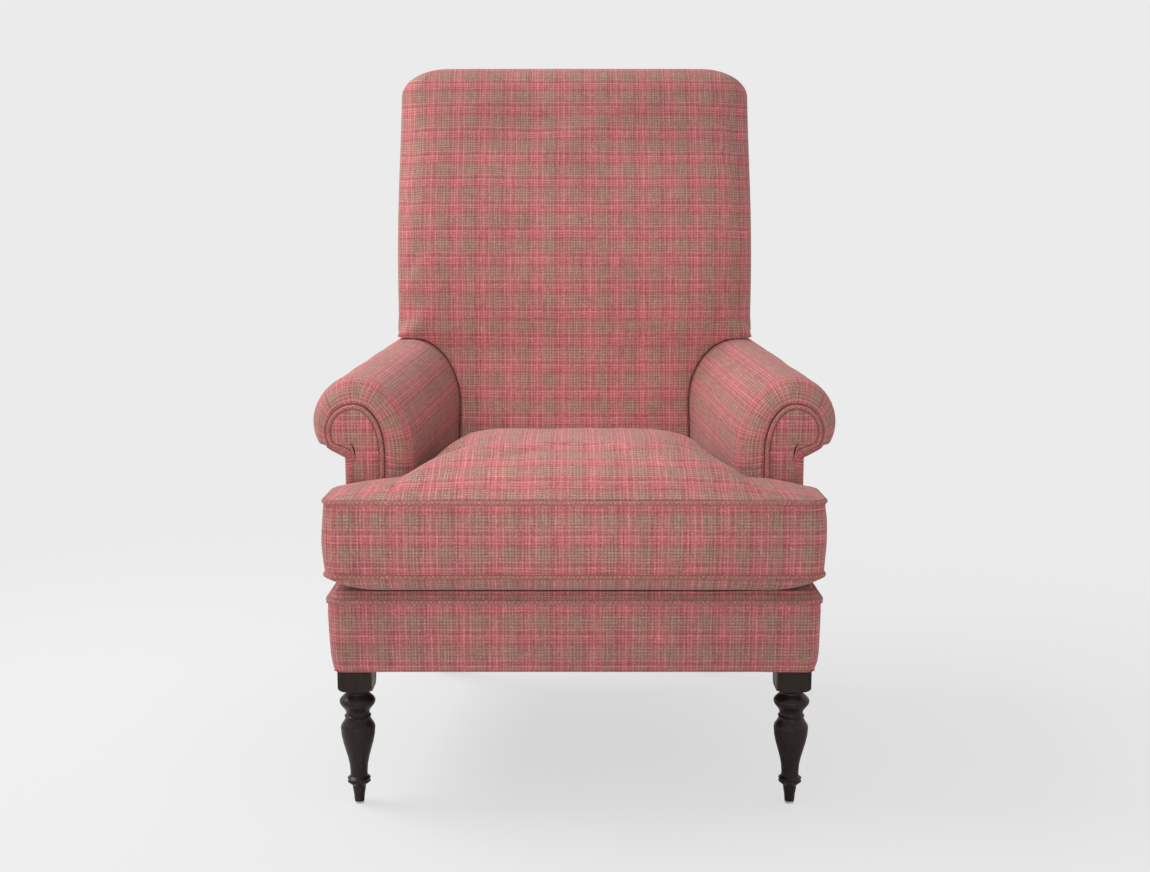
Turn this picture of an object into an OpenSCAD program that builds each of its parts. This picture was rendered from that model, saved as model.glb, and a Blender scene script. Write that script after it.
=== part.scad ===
// Fireside chair: a padded scroll-arm armchair on turned front legs, with a
// loose T-shaped seat cushion. Millimetres, +Z up, the chair faces -Y, and the
// origin is on the floor under the middle of the chair.
// Places along the depth are measured from the front plane with fy().
// Left is -X and right is +X, as seen from in front.

/* [Overall] */
// Width over the scrolls of the arms
chair_w = 762; // [740:1:790]
// Depth from the cushion's front to the rear of the back
chair_d = 745; // [725:1:790]
// Height of the back
chair_h = 1098; // [1060:1:1180]
// Height of the wooden seat frame's underside
seat_frame_z = 206; // [180:1:240]
// Inward turn of each arm towards the rear, degrees
arm_yaw = 5.6; // [4:0.1:6]

/* [Seat frame] */
// How far each scroll stands out past the seat frame
scroll_over = 49; // [42:1:58]
// Distance of the front rail behind the front plane
front_rail_set = 36; // [32:1:40]
// Thickness of the seat rails
rail_t = 28; // [22:1:30]
// Height of the seat rails
rail_h = 80; // [65:1:82]
// Length of a corner block along the rails
block_leg = 62; // [50:1:70]
// Height of a corner block
block_h = 45; // [30:1:50]

/* [Legs] */
// Distance of each front leg's axis inside the end of the front rail
leg_in = 23; // [20:1:32]
// Distance of the front legs' axis behind the face of the front rail
leg_set = 17.5; // [14:0.5:20]
// Side of the square block at the top of a front leg
leg_block_w = 48; // [40:1:50]
// Height of that block
leg_block_h = 35; // [25:1:40]
// Largest diameter of the front leg
leg_bulb_d = 51; // [44:1:54]
// Thickness of a rear leg at the top
rear_leg_t = 44; // [36:1:46]
// Width of a rear leg
rear_leg_w = 34; // [28:1:36]
// How far a rear leg's foot stands behind its top
rear_leg_rake = 96; // [70:1:100]
// Diameter of a glide under a foot
glide_d = 13; // [11:0.5:14]
// Height of a glide
glide_h = 3; // [2:0.5:4]

/* [Arms] */
// Height of the arm at its front
arm_h = 602; // [590:1:620]
// Width of an arm over its scroll
arm_w = 144; // [141:1:148]
// Radius of the scroll at the outer side
roll_r = 64; // [60:1:66]
// Height of the rounded inner shoulder of the arm
shoulder_h = 112; // [100:1:125]
// Rise of the arm towards the rear, degrees
arm_rise = 4.2; // [2:0.1:6]
// Thickness of the padding on the inner side of the arm
arm_pad_t = 38; // [32:1:40]
// Half width of the arm's facing at the scroll
facing_r = 37; // [34:1:39]
// Thickness of the arm's front post
post_t = 26; // [20:1:30]
// Depth of the rounded border around the facing
border_d = 38; // [30:1:45]
// Thickness of the outside arm panel
side_panel_t = 8.6; // [6:0.1:9]

/* [Back] */
// How far each side of the back stands in from the scroll
back_in = 77; // [73:1:86]
// Lean of the outside back, degrees
back_lean = 7.5; // [6:0.1:9]
// Thickness of the back at the seat
back_seat_t = 162; // [155:1:168]
// Thickness of the back at the top
back_top_t = 124; // [118:1:135]
// How far the lumbar part stands out
lumbar_t = 43; // [20:1:48]
// Height of the fullest lumbar part above the deck
lumbar_up = 480; // [460:1:500]
// Thickness of the outside back panel
back_panel_t = 4; // [3:0.5:5]
// Depth of a back post
back_post_d = 45; // [38:1:48]
// Width of a back post
back_post_w = 38; // [30:1:40]
// Thickness of the foam slab in the back
back_foam_t = 52; // [40:1:55]

/* [Seat cushion] */
// How far each ear of the cushion stands in from the scroll
ear_in = 35.5; // [32:0.5:43]
// Depth of an ear
ear_d = 121; // [112:1:124]
// Height of the deck above the seat rails
deck_t = 34; // [32:1:40]
// Height of the cushion's sides between the two pipings
boxing_h = 103; // [90:1:115]
// Rise of the cushion's crown above the upper piping
crown_h = 67; // [50:1:72]
// Drop of the cushion's underside below the lower piping
belly_h = 22.7; // [18:0.1:26]
// Diameter of all piping
piping_d = 6.6; // [5:0.2:7]
// How far the cushion lifts out
lift_h = 360; // [200:5:400]

/* [Hidden] */
$fn = 48;

// General clearances
soft_gap = 0.3;
cut_over = 5;
fit_gap = 0.2;
corner_steps = 4;

// Colours
wood = "burlywood";
leg_wood = "#2c1f1a";
plaid = "#a36c67";
plaid_edge = "#95605d";
lining = "#c9b48c";
steel = "#b9bcc0";
foam = "#efe2b8";
felt = "#8a7f74";
cambric = "#262626";

function fy(d) = d - chair_d / 2;
function lerp(a, b, t) = a + (b - a) * t;
function clamp01(t) = min(1, max(0, t));

// Levels, and the groove that each piping of the cushion and border lies in
rail_top_z = seat_frame_z + rail_h;
deck_z = rail_top_z + deck_t;
cover_under_t = 5;
cover_z = seat_frame_z - cover_under_t;
lower_piping_z = deck_z + soft_gap + belly_h;
upper_piping_z = lower_piping_z + boxing_h;
piping_r = piping_d / 2;
groove_clear = 1.1;
groove_half = piping_r + groove_clear;
groove_depth_share = 2.16;
groove = groove_half * groove_depth_share;

// Widths and places across the chair, all from the width over the scrolls
frame_w = chair_w - 2 * scroll_over;
back_w = chair_w - 2 * back_in;
cushion_w = chair_w - 2 * ear_in;
leg_x = frame_w / 2 - leg_in;
leg_y = front_rail_set + leg_set;

// Arm lines: each arm turns inwards about a pivot on its own axis, and every
// flat face of the arm's frame is a plane parallel to that axis
ear_gap = 9;
arm_front = ear_d + ear_gap;
pivot_x = leg_x;
rail_out_x = frame_w / 2 - tan(arm_yaw) * (arm_front - front_rail_set);
rail_in_x = rail_out_x - rail_t;
panel_out_x = rail_out_x + fit_gap + side_panel_t;
arm_in_x = chair_w / 2 - arm_w;
arm_base_z = deck_z + soft_gap;
rise_from_z = arm_h - shoulder_h;
under_drop = 42;
tuck_z = arm_h - roll_r - under_drop;
lining_in_x = arm_in_x + arm_pad_t + soft_gap;
lining_t = 3;
arm_rail_in_x = lining_in_x + lining_t;
function arm_plane_x(x, d) = pivot_x + (x - pivot_x) / cos(arm_yaw) - tan(arm_yaw) * (d - arm_front);

// Back lines: the outside back leans, and the inside back follows its thickness
back_corner_w = 82;
back_corner_h = 50;
back_edge_z = chair_h - back_corner_h;
function rear_d(z) = chair_d - tan(back_lean) * (back_edge_z - z);
lumbar_span = 270;
lumbar_z = deck_z + lumbar_up;
back_seat_up = 130;
back_seat_z = deck_z + back_seat_up;
back_head_drop = 28;
back_head_z = chair_h - back_head_drop;
function lumbar(z) = abs(z - lumbar_z) < lumbar_span
    ? lumbar_t * pow(cos(90 * (z - lumbar_z) / lumbar_span), 2) : 0;
function back_t(z) = lumbar(z)
    + lerp(back_seat_t, back_top_t, clamp01((z - back_seat_z) / (back_head_z - back_seat_z)));
function inside_d(z) = rear_d(z) - back_t(z);

module mirrored(side) {
    if (side < 0) mirror([1, 0, 0]) children();
    else children();
}
// Frame of the right arm: x as measured at the arm's front, y runs to the rear
module arm_frame(z = 0, rise = 0) {
    translate([pivot_x, fy(arm_front), z]) rotate([rise, 0, arm_yaw]) translate([-pivot_x, 0, 0]) children();
}
// Frame of the leaning back: y is zero on the inner face of the outside panel
module back_frame() {
    translate([0, fy(rear_d(seat_frame_z)) - back_panel_t / cos(back_lean), seat_frame_z])
        rotate([-back_lean, 0, 0]) children();
}
module box(x, y, z) {
    translate([x[0], y[0], z[0]]) cube([x[1] - x[0], y[1] - y[0], z[1] - z[0]]);
}

// Lofted skins: rings of equal length, closed by a fan at each end
function ring_faces(count, rings, closed = false) = [
    for (r = [0:closed ? rings - 1 : rings - 2], i = [0:count - 1])
        let (a = r * count + i, b = r * count + (i + 1) % count,
            c = (r + 1) % rings * count + i, d = (r + 1) % rings * count + (i + 1) % count)
            each [[a, d, b], [a, c, d]]
];
function cap_faces(count, rings) = let (first = count * rings, last = (rings - 1) * count) [
    for (i = [0:count - 1]) each [[first, i, (i + 1) % count], [first + 1, last + (i + 1) % count, last + i]]
];
module loft(rings, start, end) {
    count = len(rings[0]);
    polyhedron(points = concat([for (r = rings) each r], [start, end]),
        faces = concat(ring_faces(count, len(rings)), cap_faces(count, len(rings))));
}

// Tube along a path, open or closed, with flat ends
tube_sides = 8;
function unit(v) = v / norm(v);
function path_dir(path, i, closed) = let (n = len(path))
    closed ? unit(path[(i + 1) % n] - path[(i + n - 1) % n])
           : unit(path[min(i + 1, n - 1)] - path[max(i - 1, 0)]);
function tube_ring(p, dir, up, r) = let (side = unit(cross(dir, up)), top = cross(side, dir))
    [for (k = [0:tube_sides - 1]) let (a = 360 * k / tube_sides) p + r * (cos(a) * side - sin(a) * top)];
module tube(path, up, r, closed = false) {
    n = len(path);
    points = [for (i = [0:n - 1]) each tube_ring(path[i], path_dir(path, i, closed), up, r)];
    ends = [[for (k = [0:tube_sides - 1]) k], [for (k = [tube_sides - 1:-1:0]) (n - 1) * tube_sides + k]];
    polyhedron(points = points, faces = concat(ring_faces(tube_sides, n, closed), closed ? [] : ends));
}

// Plan outlines: corners [x, y, radius] rounded by arcs, straights divided
function corner_arc(a, v, b, r, steps) = let (
    u = unit([a[0] - v[0], a[1] - v[1]]), w = unit([b[0] - v[0], b[1] - v[1]]),
    half = acos(u * w) / 2, reach = r / tan(half), p = [v[0], v[1]] + u * reach,
    centre = [v[0], v[1]] + unit(u + w) * (r / sin(half)), from = atan2(p[1] - centre[1], p[0] - centre[0]),
    turn = (180 - 2 * half) * (u[0] * w[1] - u[1] * w[0] < 0 ? 1 : -1))
    [for (k = [0:steps]) centre + r * [cos(from + turn * k / steps), sin(from + turn * k / steps)]];
function rounded(corners, steps) = let (n = len(corners)) [
    for (i = [0:n - 1])
        each corner_arc(corners[(i + n - 1) % n], corners[i], corners[(i + 1) % n], corners[i][2], steps)
];
function divided(path, like, longest) = let (n = len(path)) [
    for (i = [0:n - 1]) let (parts = ceil(norm(like[(i + 1) % n] - like[i]) / longest))
        for (k = [0:parts - 1]) lerp(path[i], path[(i + 1) % n], k / parts)
];

// Woven webbing: a flat strip that passes over and under the strips it crosses
web_t = 2;
web_w = 50;
web_amp = 1.2;
web_flat = 29;
web_end = 4;
web_room = 2 * web_amp + web_t + 2 * soft_gap;
function weave(at, sign, from, to) = concat([[from, -web_amp]],
    [for (k = [0:len(at) - 1]) let (s = sign * (k % 2 == 0 ? 1 : -1) * web_amp)
        each [[at[k] - web_flat, s], [at[k] + web_flat, s]]], [[to, -web_amp]]);
module strip(path, w) {
    n = len(path);
    linear_extrude(w, center = true) polygon(concat(
        [for (p = path) [p[0], p[1] - web_t / 2]],
        [for (i = [n - 1:-1:0]) [path[i][0], path[i][1] + web_t / 2]]));
}

// Dowels and screws: places shared by the parts that they join
dowel_d = 8;
dowel_l = 50;
dowel_pitch = 28;
module dowel(grow = 0) {
    cylinder(d = dowel_d + 2 * grow, h = dowel_l + 2 * grow, center = true);
}
module dowel_pair(grow = 0) {
    for (s = [-1, 1]) translate([0, s * dowel_pitch / 2, 0]) dowel(grow);
}
rail_mid_z = seat_frame_z + rail_h / 2;
dowel_rise = 54;
dowel_z = seat_frame_z + dowel_rise;
front_joint = front_rail_set + rail_t;
rail_panel_gap = 2;
rear_rail_rear = rear_d(seat_frame_z) - back_panel_t - rail_panel_gap;
rear_rail_front = rear_rail_rear - rail_t;
function post_front(z) = rear_d(z) - back_panel_t - back_post_d / cos(back_lean);
post_front_d = post_front(rail_mid_z);
post_side_gap = 4;
post_out_x = arm_plane_x(rail_out_x, rear_d(tuck_z)) - post_side_gap;
post_in_x = post_out_x - back_post_w;
back_panel_l = (back_edge_z - seat_frame_z) / cos(back_lean) + back_panel_t * tan(back_lean);
post_end_gap = 4;
back_post_l = back_panel_l - post_end_gap;
back_rail_t = 28;
back_rail_h = 70;
head_rail_drop = 2;
head_rail_top = back_post_l - head_rail_drop;
tacking_z = 150;
tacking_h = 45;
module side_joint_dowels(grow = 0) {
    rail_mid_x = (rail_out_x + rail_in_x) / 2;
    arm_frame(dowel_z)
        translate([rail_mid_x, front_joint - arm_front, 0]) rotate([90, 0, 0]) dowel_pair(grow);
    rear_x = arm_plane_x(rail_mid_x, post_front_d);
    translate([rear_x, fy(post_front_d), dowel_z]) rotate([90, 0, 0]) dowel_pair(grow);
}
module rear_rail_dowels(grow = 0) {
    translate([post_in_x, fy((rear_rail_front + rear_rail_rear) / 2), dowel_z])
        rotate([90, 0, 90]) dowel_pair(grow);
}
arm_dowel_pitch = 18;
module arm_post_dowels(grow = 0) {
    for (s = [-1, 1])
        translate([arm_post_mid_x + s * arm_dowel_pitch / 2, fy(arm_post_front + post_t / 2), rail_top_z])
            dowel(grow);
}
module head_rail_dowels(grow = 0) {
    back_frame() translate([post_in_x, -back_post_d + back_rail_t / 2, head_rail_top - back_rail_h / 2])
        rotate([90, 0, 90]) dowel_pair(grow);
}

// Seat rails
module front_seat_rail() {
    color(wood) difference() {
        box([-frame_w / 2, frame_w / 2], [fy(front_rail_set), fy(front_joint)], [seat_frame_z, rail_top_z]);
        for (s = [-1, 1]) mirrored(s) {
            side_joint_dowels(fit_gap);
            leg_bolt_hole(leg_x, fy(leg_y));
            block_screws_front(fit_gap);
        }
    }
}
module rear_seat_rail() {
    color(wood) difference() {
        box([-post_in_x, post_in_x], [fy(rear_rail_front), fy(rear_rail_rear)], [seat_frame_z, rail_top_z]);
        for (s = [-1, 1]) mirrored(s) rear_rail_dowels(fit_gap);
    }
}
module side_seat_rail() {
    color(wood) difference() {
        arm_frame() box([rail_in_x, rail_out_x], [-arm_front, chair_d], [seat_frame_z, rail_top_z]);
        box([0, frame_w], [fy(-arm_front), fy(front_joint)],
            [seat_frame_z - cut_over, rail_top_z + cut_over]);
        back_frame() box([0, frame_w], [-back_post_d, chair_d], [-chair_h, chair_h]);
        side_joint_dowels(fit_gap);
        arm_post_dowels(fit_gap);
        block_screws_side(fit_gap);
    }
}

// Corner blocks with their screws
screw_d = 4.5;
screw_head_d = 9;
screw_head_h = 2.5;
screw_bite = 18;
block_rise = 12;
block_z = seat_frame_z + block_rise;
block_mid_z = block_z + block_h / 2;
screw_in = 30;
function side_in_x(d) = arm_plane_x(rail_in_x, d);
rear_block_d = post_front(block_z) - soft_gap;
module block_outline(front) {
    d = front ? front_joint : rear_block_d;
    s = front ? 1 : -1;
    polygon([[side_in_x(d), fy(d)], [side_in_x(d) - block_leg, fy(d)],
        [side_in_x(d + s * block_leg), fy(d + s * block_leg)]]);
}
module screw(grow = 0) {
    translate([0, 0, -screw_bite]) cylinder(d = screw_d + 2 * grow, h = 2 * screw_bite);
    translate([0, 0, screw_bite - screw_head_h])
        cylinder(d = screw_head_d + 2 * grow, h = screw_head_h + (grow > 0 ? block_leg : 0));
}
module block_screws_front(grow = 0) {
    translate([side_in_x(front_joint) - screw_in, fy(front_joint), block_mid_z - block_h / 4])
        rotate([-90, 0, 0]) screw(grow);
}
module block_screws_side(grow = 0) {
    for (d = [front_joint + screw_in, rear_block_d - screw_in]) arm_frame(block_mid_z + block_h / 10)
        translate([rail_in_x, d - arm_front, 0]) rotate([0, -90, 0]) screw(grow);
}
module corner_blocks() {
    color(wood) for (s = [-1, 1]) mirrored(s) difference() {
        for (front = [true, false]) translate([0, 0, block_z]) linear_extrude(block_h) block_outline(front);
        block_screws_front(fit_gap);
        block_screws_side(fit_gap);
    }
}
module corner_block_screws() {
    color(steel) for (s = [-1, 1]) mirrored(s) {
        block_screws_front();
        block_screws_side();
    }
}

// Legs, hung on bolts that run up into the frame
bolt_d = 8;
bolt_l = 64;
nut_d = 13;
nut_l = 22;
rear_leg_x = (post_in_x + post_out_x) / 2;
rear_leg_top = rear_d(seat_frame_z) - back_panel_t - back_post_d / 2;
module leg_bolt_places() {
    for (s = [-1, 1]) mirrored(s) {
        translate([leg_x, fy(leg_y), seat_frame_z]) children();
        translate([rear_leg_x, fy(rear_leg_top), seat_frame_z]) children();
    }
}
module leg_bolt_hole(x, y) {
    translate([x, y, seat_frame_z]) {
        translate([0, 0, -bolt_l / 2 - fit_gap]) cylinder(d = bolt_d + 2 * fit_gap, h = bolt_l + 2 * fit_gap);
        translate([0, 0, -fit_gap]) cylinder(d = nut_d + 2 * fit_gap, h = nut_l + 2 * fit_gap);
    }
}
module leg_bolts() {
    color(steel) leg_bolt_places() translate([0, 0, -bolt_l / 2]) cylinder(d = bolt_d, h = bolt_l);
}
module leg_insert_nuts() {
    color(steel) leg_bolt_places() difference() {
        cylinder(d = nut_d, h = nut_l);
        translate([0, 0, -cut_over]) cylinder(d = bolt_d + 2 * fit_gap, h = nut_l + 2 * cut_over);
    }
}
// Turned profile: [share of the turning's height, share of its largest radius]
turn_shares = [[0, 0.27], [0.03, 0.29], [0.137, 0.37], [0.158, 0.5], [0.176, 0.645], [0.192, 0.6],
    [0.207, 0.645], [0.226, 0.49], [0.262, 0.48], [0.655, 0.96], [0.745, 0.7], [0.758, 0.745], [0.77, 0.67],
    [0.786, 0.65], [0.887, 1], [0.97, 0.63], [0.982, 0.72], [1, 0.74]];
long_turn_share = 0.05;
turn_steps = 6;
bead_steps = 2;
turn_h = seat_frame_z - leg_block_h - glide_h;
block_foot_share = 1.2;
function turn_profile() = [
    for (k = [0:len(turn_shares) - 2])
        let (a = turn_shares[k], b = turn_shares[k + 1],
            steps = b[0] - a[0] > long_turn_share ? turn_steps : bead_steps)
            for (i = [0:steps - 1]) [lerp(a[1], b[1], (1 - cos(180 * i / steps)) / 2) * leg_bulb_d / 2,
                glide_h + lerp(a[0], b[0], i / steps) * turn_h]
];
module front_leg() {
    top = glide_h + turn_h;
    half = leg_block_w / 2;
    color(leg_wood) difference() {
        translate([leg_x, fy(leg_y), 0]) {
            rotate_extrude() polygon(concat([[0, glide_h]], turn_profile(),
                [[turn_shares[len(turn_shares) - 1][1] * leg_bulb_d / 2, top], [0, top]]));
            intersection() {
                box([-half, half], [-half, half], [top, seat_frame_z]);
                translate([0, 0, top]) cylinder(r1 = half * block_foot_share, r2 = 3 * half, h = leg_block_w);
            }
        }
        translate([leg_x, fy(leg_y), seat_frame_z - bolt_l / 2 - fit_gap])
            cylinder(d = bolt_d + 2 * fit_gap, h = bolt_l);
        translate([leg_x, fy(leg_y), 0]) glide_pin(fit_gap);
    }
}
// Rear leg: it sweeps back in a slight curve and narrows towards its foot
rear_foot_share = 0.62;
rear_sweep_share = 0.35;
rear_leg_steps = 8;
module rear_leg_outline() {
    drop = seat_frame_z - glide_h;
    half = [for (k = [0:rear_leg_steps]) let (t = k / rear_leg_steps)
        [rear_leg_top + rear_leg_rake * lerp(t, t * t, rear_sweep_share),
            rear_leg_t / 2 * lerp(1, rear_foot_share, t), seat_frame_z - drop * t]];
    polygon(concat([for (h = half) [fy(h[0] - h[1]), h[2]]],
        [for (k = [rear_leg_steps:-1:0]) [fy(half[k][0] + half[k][1]), half[k][2]]]));
}
module rear_leg() {
    color(leg_wood) difference() {
        translate([rear_leg_x - rear_leg_w / 2, 0, 0]) rotate([90, 0, 90])
            linear_extrude(rear_leg_w) rear_leg_outline();
        translate([rear_leg_x, fy(rear_leg_top), seat_frame_z - bolt_l / 2 - fit_gap])
            cylinder(d = bolt_d + 2 * fit_gap, h = bolt_l);
        translate([rear_leg_x, fy(rear_leg_top + rear_leg_rake), 0]) glide_pin(fit_gap);
    }
}
glide_pin_d = 3;
glide_pin_l = 14;
module glide_pin(grow = 0) {
    cylinder(d = glide_pin_d + 2 * grow, h = glide_h + glide_pin_l + grow);
}
module leg_glides() {
    color("#d8d8d4") for (s = [-1, 1]) mirrored(s) {
        for (p = [[leg_x, leg_y], [rear_leg_x, rear_leg_top + rear_leg_rake]])
            translate([p[0], fy(p[1]), 0]) {
                cylinder(d = glide_d, h = glide_h);
                glide_pin();
            }
    }
}

// Arm section, seen from in front: the inner face rises to a rounded shoulder,
// runs over the scroll and tucks in under it
shoulder_steps = 8;
roll_steps = 10;
under_angle = -28;
stem_x = panel_out_x - side_panel_t - soft_gap;
under_fillet = 3;
roll_x = chair_w / 2 - roll_r + tan(arm_yaw) * border_d;
function section(cx, top, in_a, in_b, out_a, out_b, stem, tuck, fillet) = concat(
    [for (t = [0, 0.5]) [cx - in_a, lerp(arm_base_z, top - in_b, t)]],
    [for (k = [0:shoulder_steps - 1]) let (a = 180 - 90 * k / shoulder_steps)
        [cx + in_a * cos(a), top - in_b + in_b * sin(a)]],
    [for (k = [0:roll_steps]) let (a = 90 + (under_angle - 90) * k / roll_steps)
        [cx + out_a * cos(a), top - out_b + out_b * sin(a)]],
    [[stem + fillet, tuck + fillet / 4], [stem, tuck - fillet],
        [stem, (tuck + arm_base_z) / 2], [stem, arm_base_z]]);
full_section = section(roll_x, arm_h, roll_x - arm_in_x, shoulder_h, roll_r, roll_r,
    stem_x, tuck_z, under_fillet);

// Facing: a keyhole panel on the arm's front, framed by piping
facing_in = 2.7;
facing_x = roll_x - facing_in;
facing_drop = 38.5;
facing_top = arm_h - facing_drop;
facing_shoulder_w = 39.5;
facing_shoulder_h = 68.5;
facing_stem_in = 6;
facing_stem_x = panel_out_x - facing_stem_in;
facing_stem_w = facing_stem_x - facing_x + facing_shoulder_w;
facing_t = 5.5;
facing_fillet = 8;
facing_tuck_up = 2.5;
function facing_section(grow) = section(facing_x, facing_top + grow,
    facing_shoulder_w + grow, facing_shoulder_h, facing_r + grow, facing_r + grow,
    facing_stem_x + min(grow, 0), tuck_z + facing_tuck_up - grow, facing_fillet);

// Each arm's section moves inwards and rises on its way to the rear
function rise_share(z) = clamp01((z - arm_base_z) / (rise_from_z - arm_base_z));
function arm_point(p, d) = let (v = d - arm_front)
    [p[0] - tan(arm_yaw) * v, fy(d), p[1] + tan(arm_rise) * v * rise_share(p[1])];
function arm_ring(d, puff, grow) = let (from = facing_section(grow))
    [for (k = [0:len(full_section) - 1]) arm_point(lerp(from[k], full_section[k], puff), d)];
// Last ring: it lies against the inner face of the leaning outside back
function arm_end_ring() = [for (p = full_section)
    arm_point(p, rear_d(p[1] + tan(arm_rise) * (chair_d - 2 * arm_front)) - back_panel_t)];
border_steps = 5;
border_lip = 1;
least_puff_share = 0.1;
arm_station_shares = [0.25, 0.5, 0.75];
piping_room = piping_r + soft_gap;
arm_rings = concat(
    [arm_ring(arm_front + facing_t, 0, piping_room)],
    [for (k = [0:border_steps]) let (a = 90 * k / border_steps)
        arm_ring(arm_front + border_lip + border_d * (1 - cos(a)), max(least_puff_share, sin(a)),
            piping_room)],
    [for (t = arm_station_shares) arm_ring(lerp(arm_front + border_d, rear_d(rail_mid_z), t), 1, 0)],
    [arm_end_ring()]);
heart_in_share = 0.86;
heart_up_share = 0.13;
module arm_skin() {
    heart = [lerp(arm_in_x, roll_x, heart_in_share), lerp(rise_from_z, arm_h, heart_up_share)];
    loft(arm_rings, arm_point(heart, arm_front + facing_t), arm_point(heart, rear_d(arm_h) - back_panel_t));
}
post_inset = 8;
post_stem_w = facing_stem_w - 2 * post_inset;
module post_outline(grow = 0) {
    round_z = facing_top - facing_r;
    translate([facing_x, round_z]) circle(r = facing_r - post_inset + grow);
    translate([facing_x - facing_shoulder_w + post_inset - grow, rail_top_z])
        square([post_stem_w + 2 * grow, round_z - rail_top_z]);
}
arm_post_mid_x = facing_x - facing_shoulder_w + post_inset + post_stem_w / 2;
module arm_post_prism(grow, from, to) {
    translate([0, fy(to), 0]) rotate([90, 0, 0]) linear_extrude(to - from) post_outline(grow);
}
arm_post_front = arm_front + facing_t + fit_gap;
hollow_front = 10;
module arm_cover() {
    color(plaid) difference() {
        arm_skin();
        arm_post_prism(2 * soft_gap, arm_front - cut_over, arm_post_front + post_t + soft_gap);
        // Hollow between the inner lining and the outside panel
        arm_frame() box([lining_in_x - soft_gap, chair_w], [hollow_front, chair_d], [0, tuck_z]);
        arm_frame(arm_rail_z, arm_rise) box(
            [lining_in_x - 2 * soft_gap, arm_rail_in_x + arm_rail_w + soft_gap],
            [post_t / 2, chair_d], [-shoulder_h, arm_rail_h / 2 + soft_gap]);
        back_zone();
    }
}
// Room behind the inside back that the wooden frame and its webbing take
post_room = 1;
module back_zone() {
    w = post_out_x + post_room;
    back_frame() box([-w, w], [-back_post_d - web_room, 2 * back_post_d], [-rail_h, back_panel_l + soft_gap]);
}
module arm_facing() {
    color(plaid) translate([0, fy(arm_front + facing_t), 0]) rotate([90, 0, 0]) linear_extrude(facing_t)
        polygon(facing_section(-piping_room));
}
module arm_post() {
    color(wood) difference() {
        arm_post_prism(0, arm_post_front, arm_post_front + post_t);
        arm_post_dowels(fit_gap);
    }
}
module arm_facing_piping() {
    path = [for (p = facing_section(0)) [p[0], fy(arm_front + facing_t - piping_r - border_lip), p[1]]];
    color(plaid_edge) tube(path, [0, -1, 0], piping_r);
}
// Top rail, tacking rail and lining of the arm, between its post and the back post
arm_rail_h = 44;
arm_rail_w = 34;
arm_rail_drop = 82;
arm_rail_z = arm_h - arm_rail_drop;
arm_tack_rise = 12;
arm_tack_z = deck_z + arm_tack_rise;
arm_tack_h = 30;
arm_tack_w = 22;
module arm_member(x, z, rise = 0) {
    color(wood) difference() {
        arm_frame(rise > 0 ? arm_rail_z : 0, rise) box(x, [0, chair_d], z);
        box([0, chair_w], [fy(-arm_front), fy(arm_post_front + post_t)], [0, chair_h]);
        back_frame() box([0, chair_w], [-back_post_d, chair_d], [-chair_h, chair_h]);
    }
}
module arm_top_rail() {
    arm_member([arm_rail_in_x, arm_rail_in_x + arm_rail_w], [-arm_rail_h / 2, arm_rail_h / 2], arm_rise);
}
module arm_tacking_rail() {
    arm_member([arm_rail_in_x, arm_rail_in_x + arm_tack_w], [arm_tack_z, arm_tack_z + arm_tack_h]);
}
module arm_lining() {
    color(lining) difference() {
        arm_frame() box([lining_in_x, arm_rail_in_x], [0, chair_d], [arm_tack_z, arm_rail_z]);
        box([0, chair_w], [fy(-arm_front), fy(arm_post_front + post_t + soft_gap)], [0, chair_h]);
        back_frame() box([0, chair_w], [-back_post_d - web_room, chair_d], [-chair_h, chair_h]);
    }
}
// Outside arm panel, from under the scroll down to the foot of the rails
panel_top_gap = 5;
panel_front_gap = 7;
module outside_arm_panel() {
    color(plaid) difference() {
        arm_frame() box([rail_out_x + fit_gap, panel_out_x], [0, chair_d], [cover_z, chair_h]);
        arm_frame(tuck_z - panel_top_gap, arm_rise) box([0, chair_w], [-chair_d, 2 * chair_d], [0, chair_h]);
        box([0, chair_w], [fy(-arm_front), fy(arm_front + facing_t + panel_front_gap)], [0, chair_h]);
        back_frame() box([0, chair_w], [back_panel_t, chair_d], [-chair_h, chair_h]);
    }
}

// Back frame
module back_post() {
    color(wood) difference() {
        back_frame() box([post_in_x, post_out_x], [-back_post_d, 0], [-rail_h, back_post_l]);
        box([0, chair_w], [fy(0), fy(2 * chair_d)], [0, seat_frame_z]);
        leg_bolt_hole(rear_leg_x, fy(rear_leg_top));
        head_rail_dowels(fit_gap);
        rear_rail_dowels(fit_gap);
        side_joint_dowels(fit_gap);
    }
}
module back_top_rail() {
    color(wood) difference() {
        back_frame() box([-post_in_x, post_in_x], [-back_post_d, -back_post_d + back_rail_t],
            [head_rail_top - back_rail_h, head_rail_top]);
        for (s = [-1, 1]) mirrored(s) head_rail_dowels(fit_gap);
    }
}
module back_tacking_rail() {
    color(wood) back_frame() box([-post_in_x, post_in_x], [-back_post_d, -back_post_d + back_rail_t],
        [tacking_z, tacking_z + tacking_h]);
}
module frame_dowels() {
    color("wheat") for (s = [-1, 1]) mirrored(s) {
        side_joint_dowels();
        rear_rail_dowels();
        arm_post_dowels();
        head_rail_dowels();
    }
}

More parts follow.
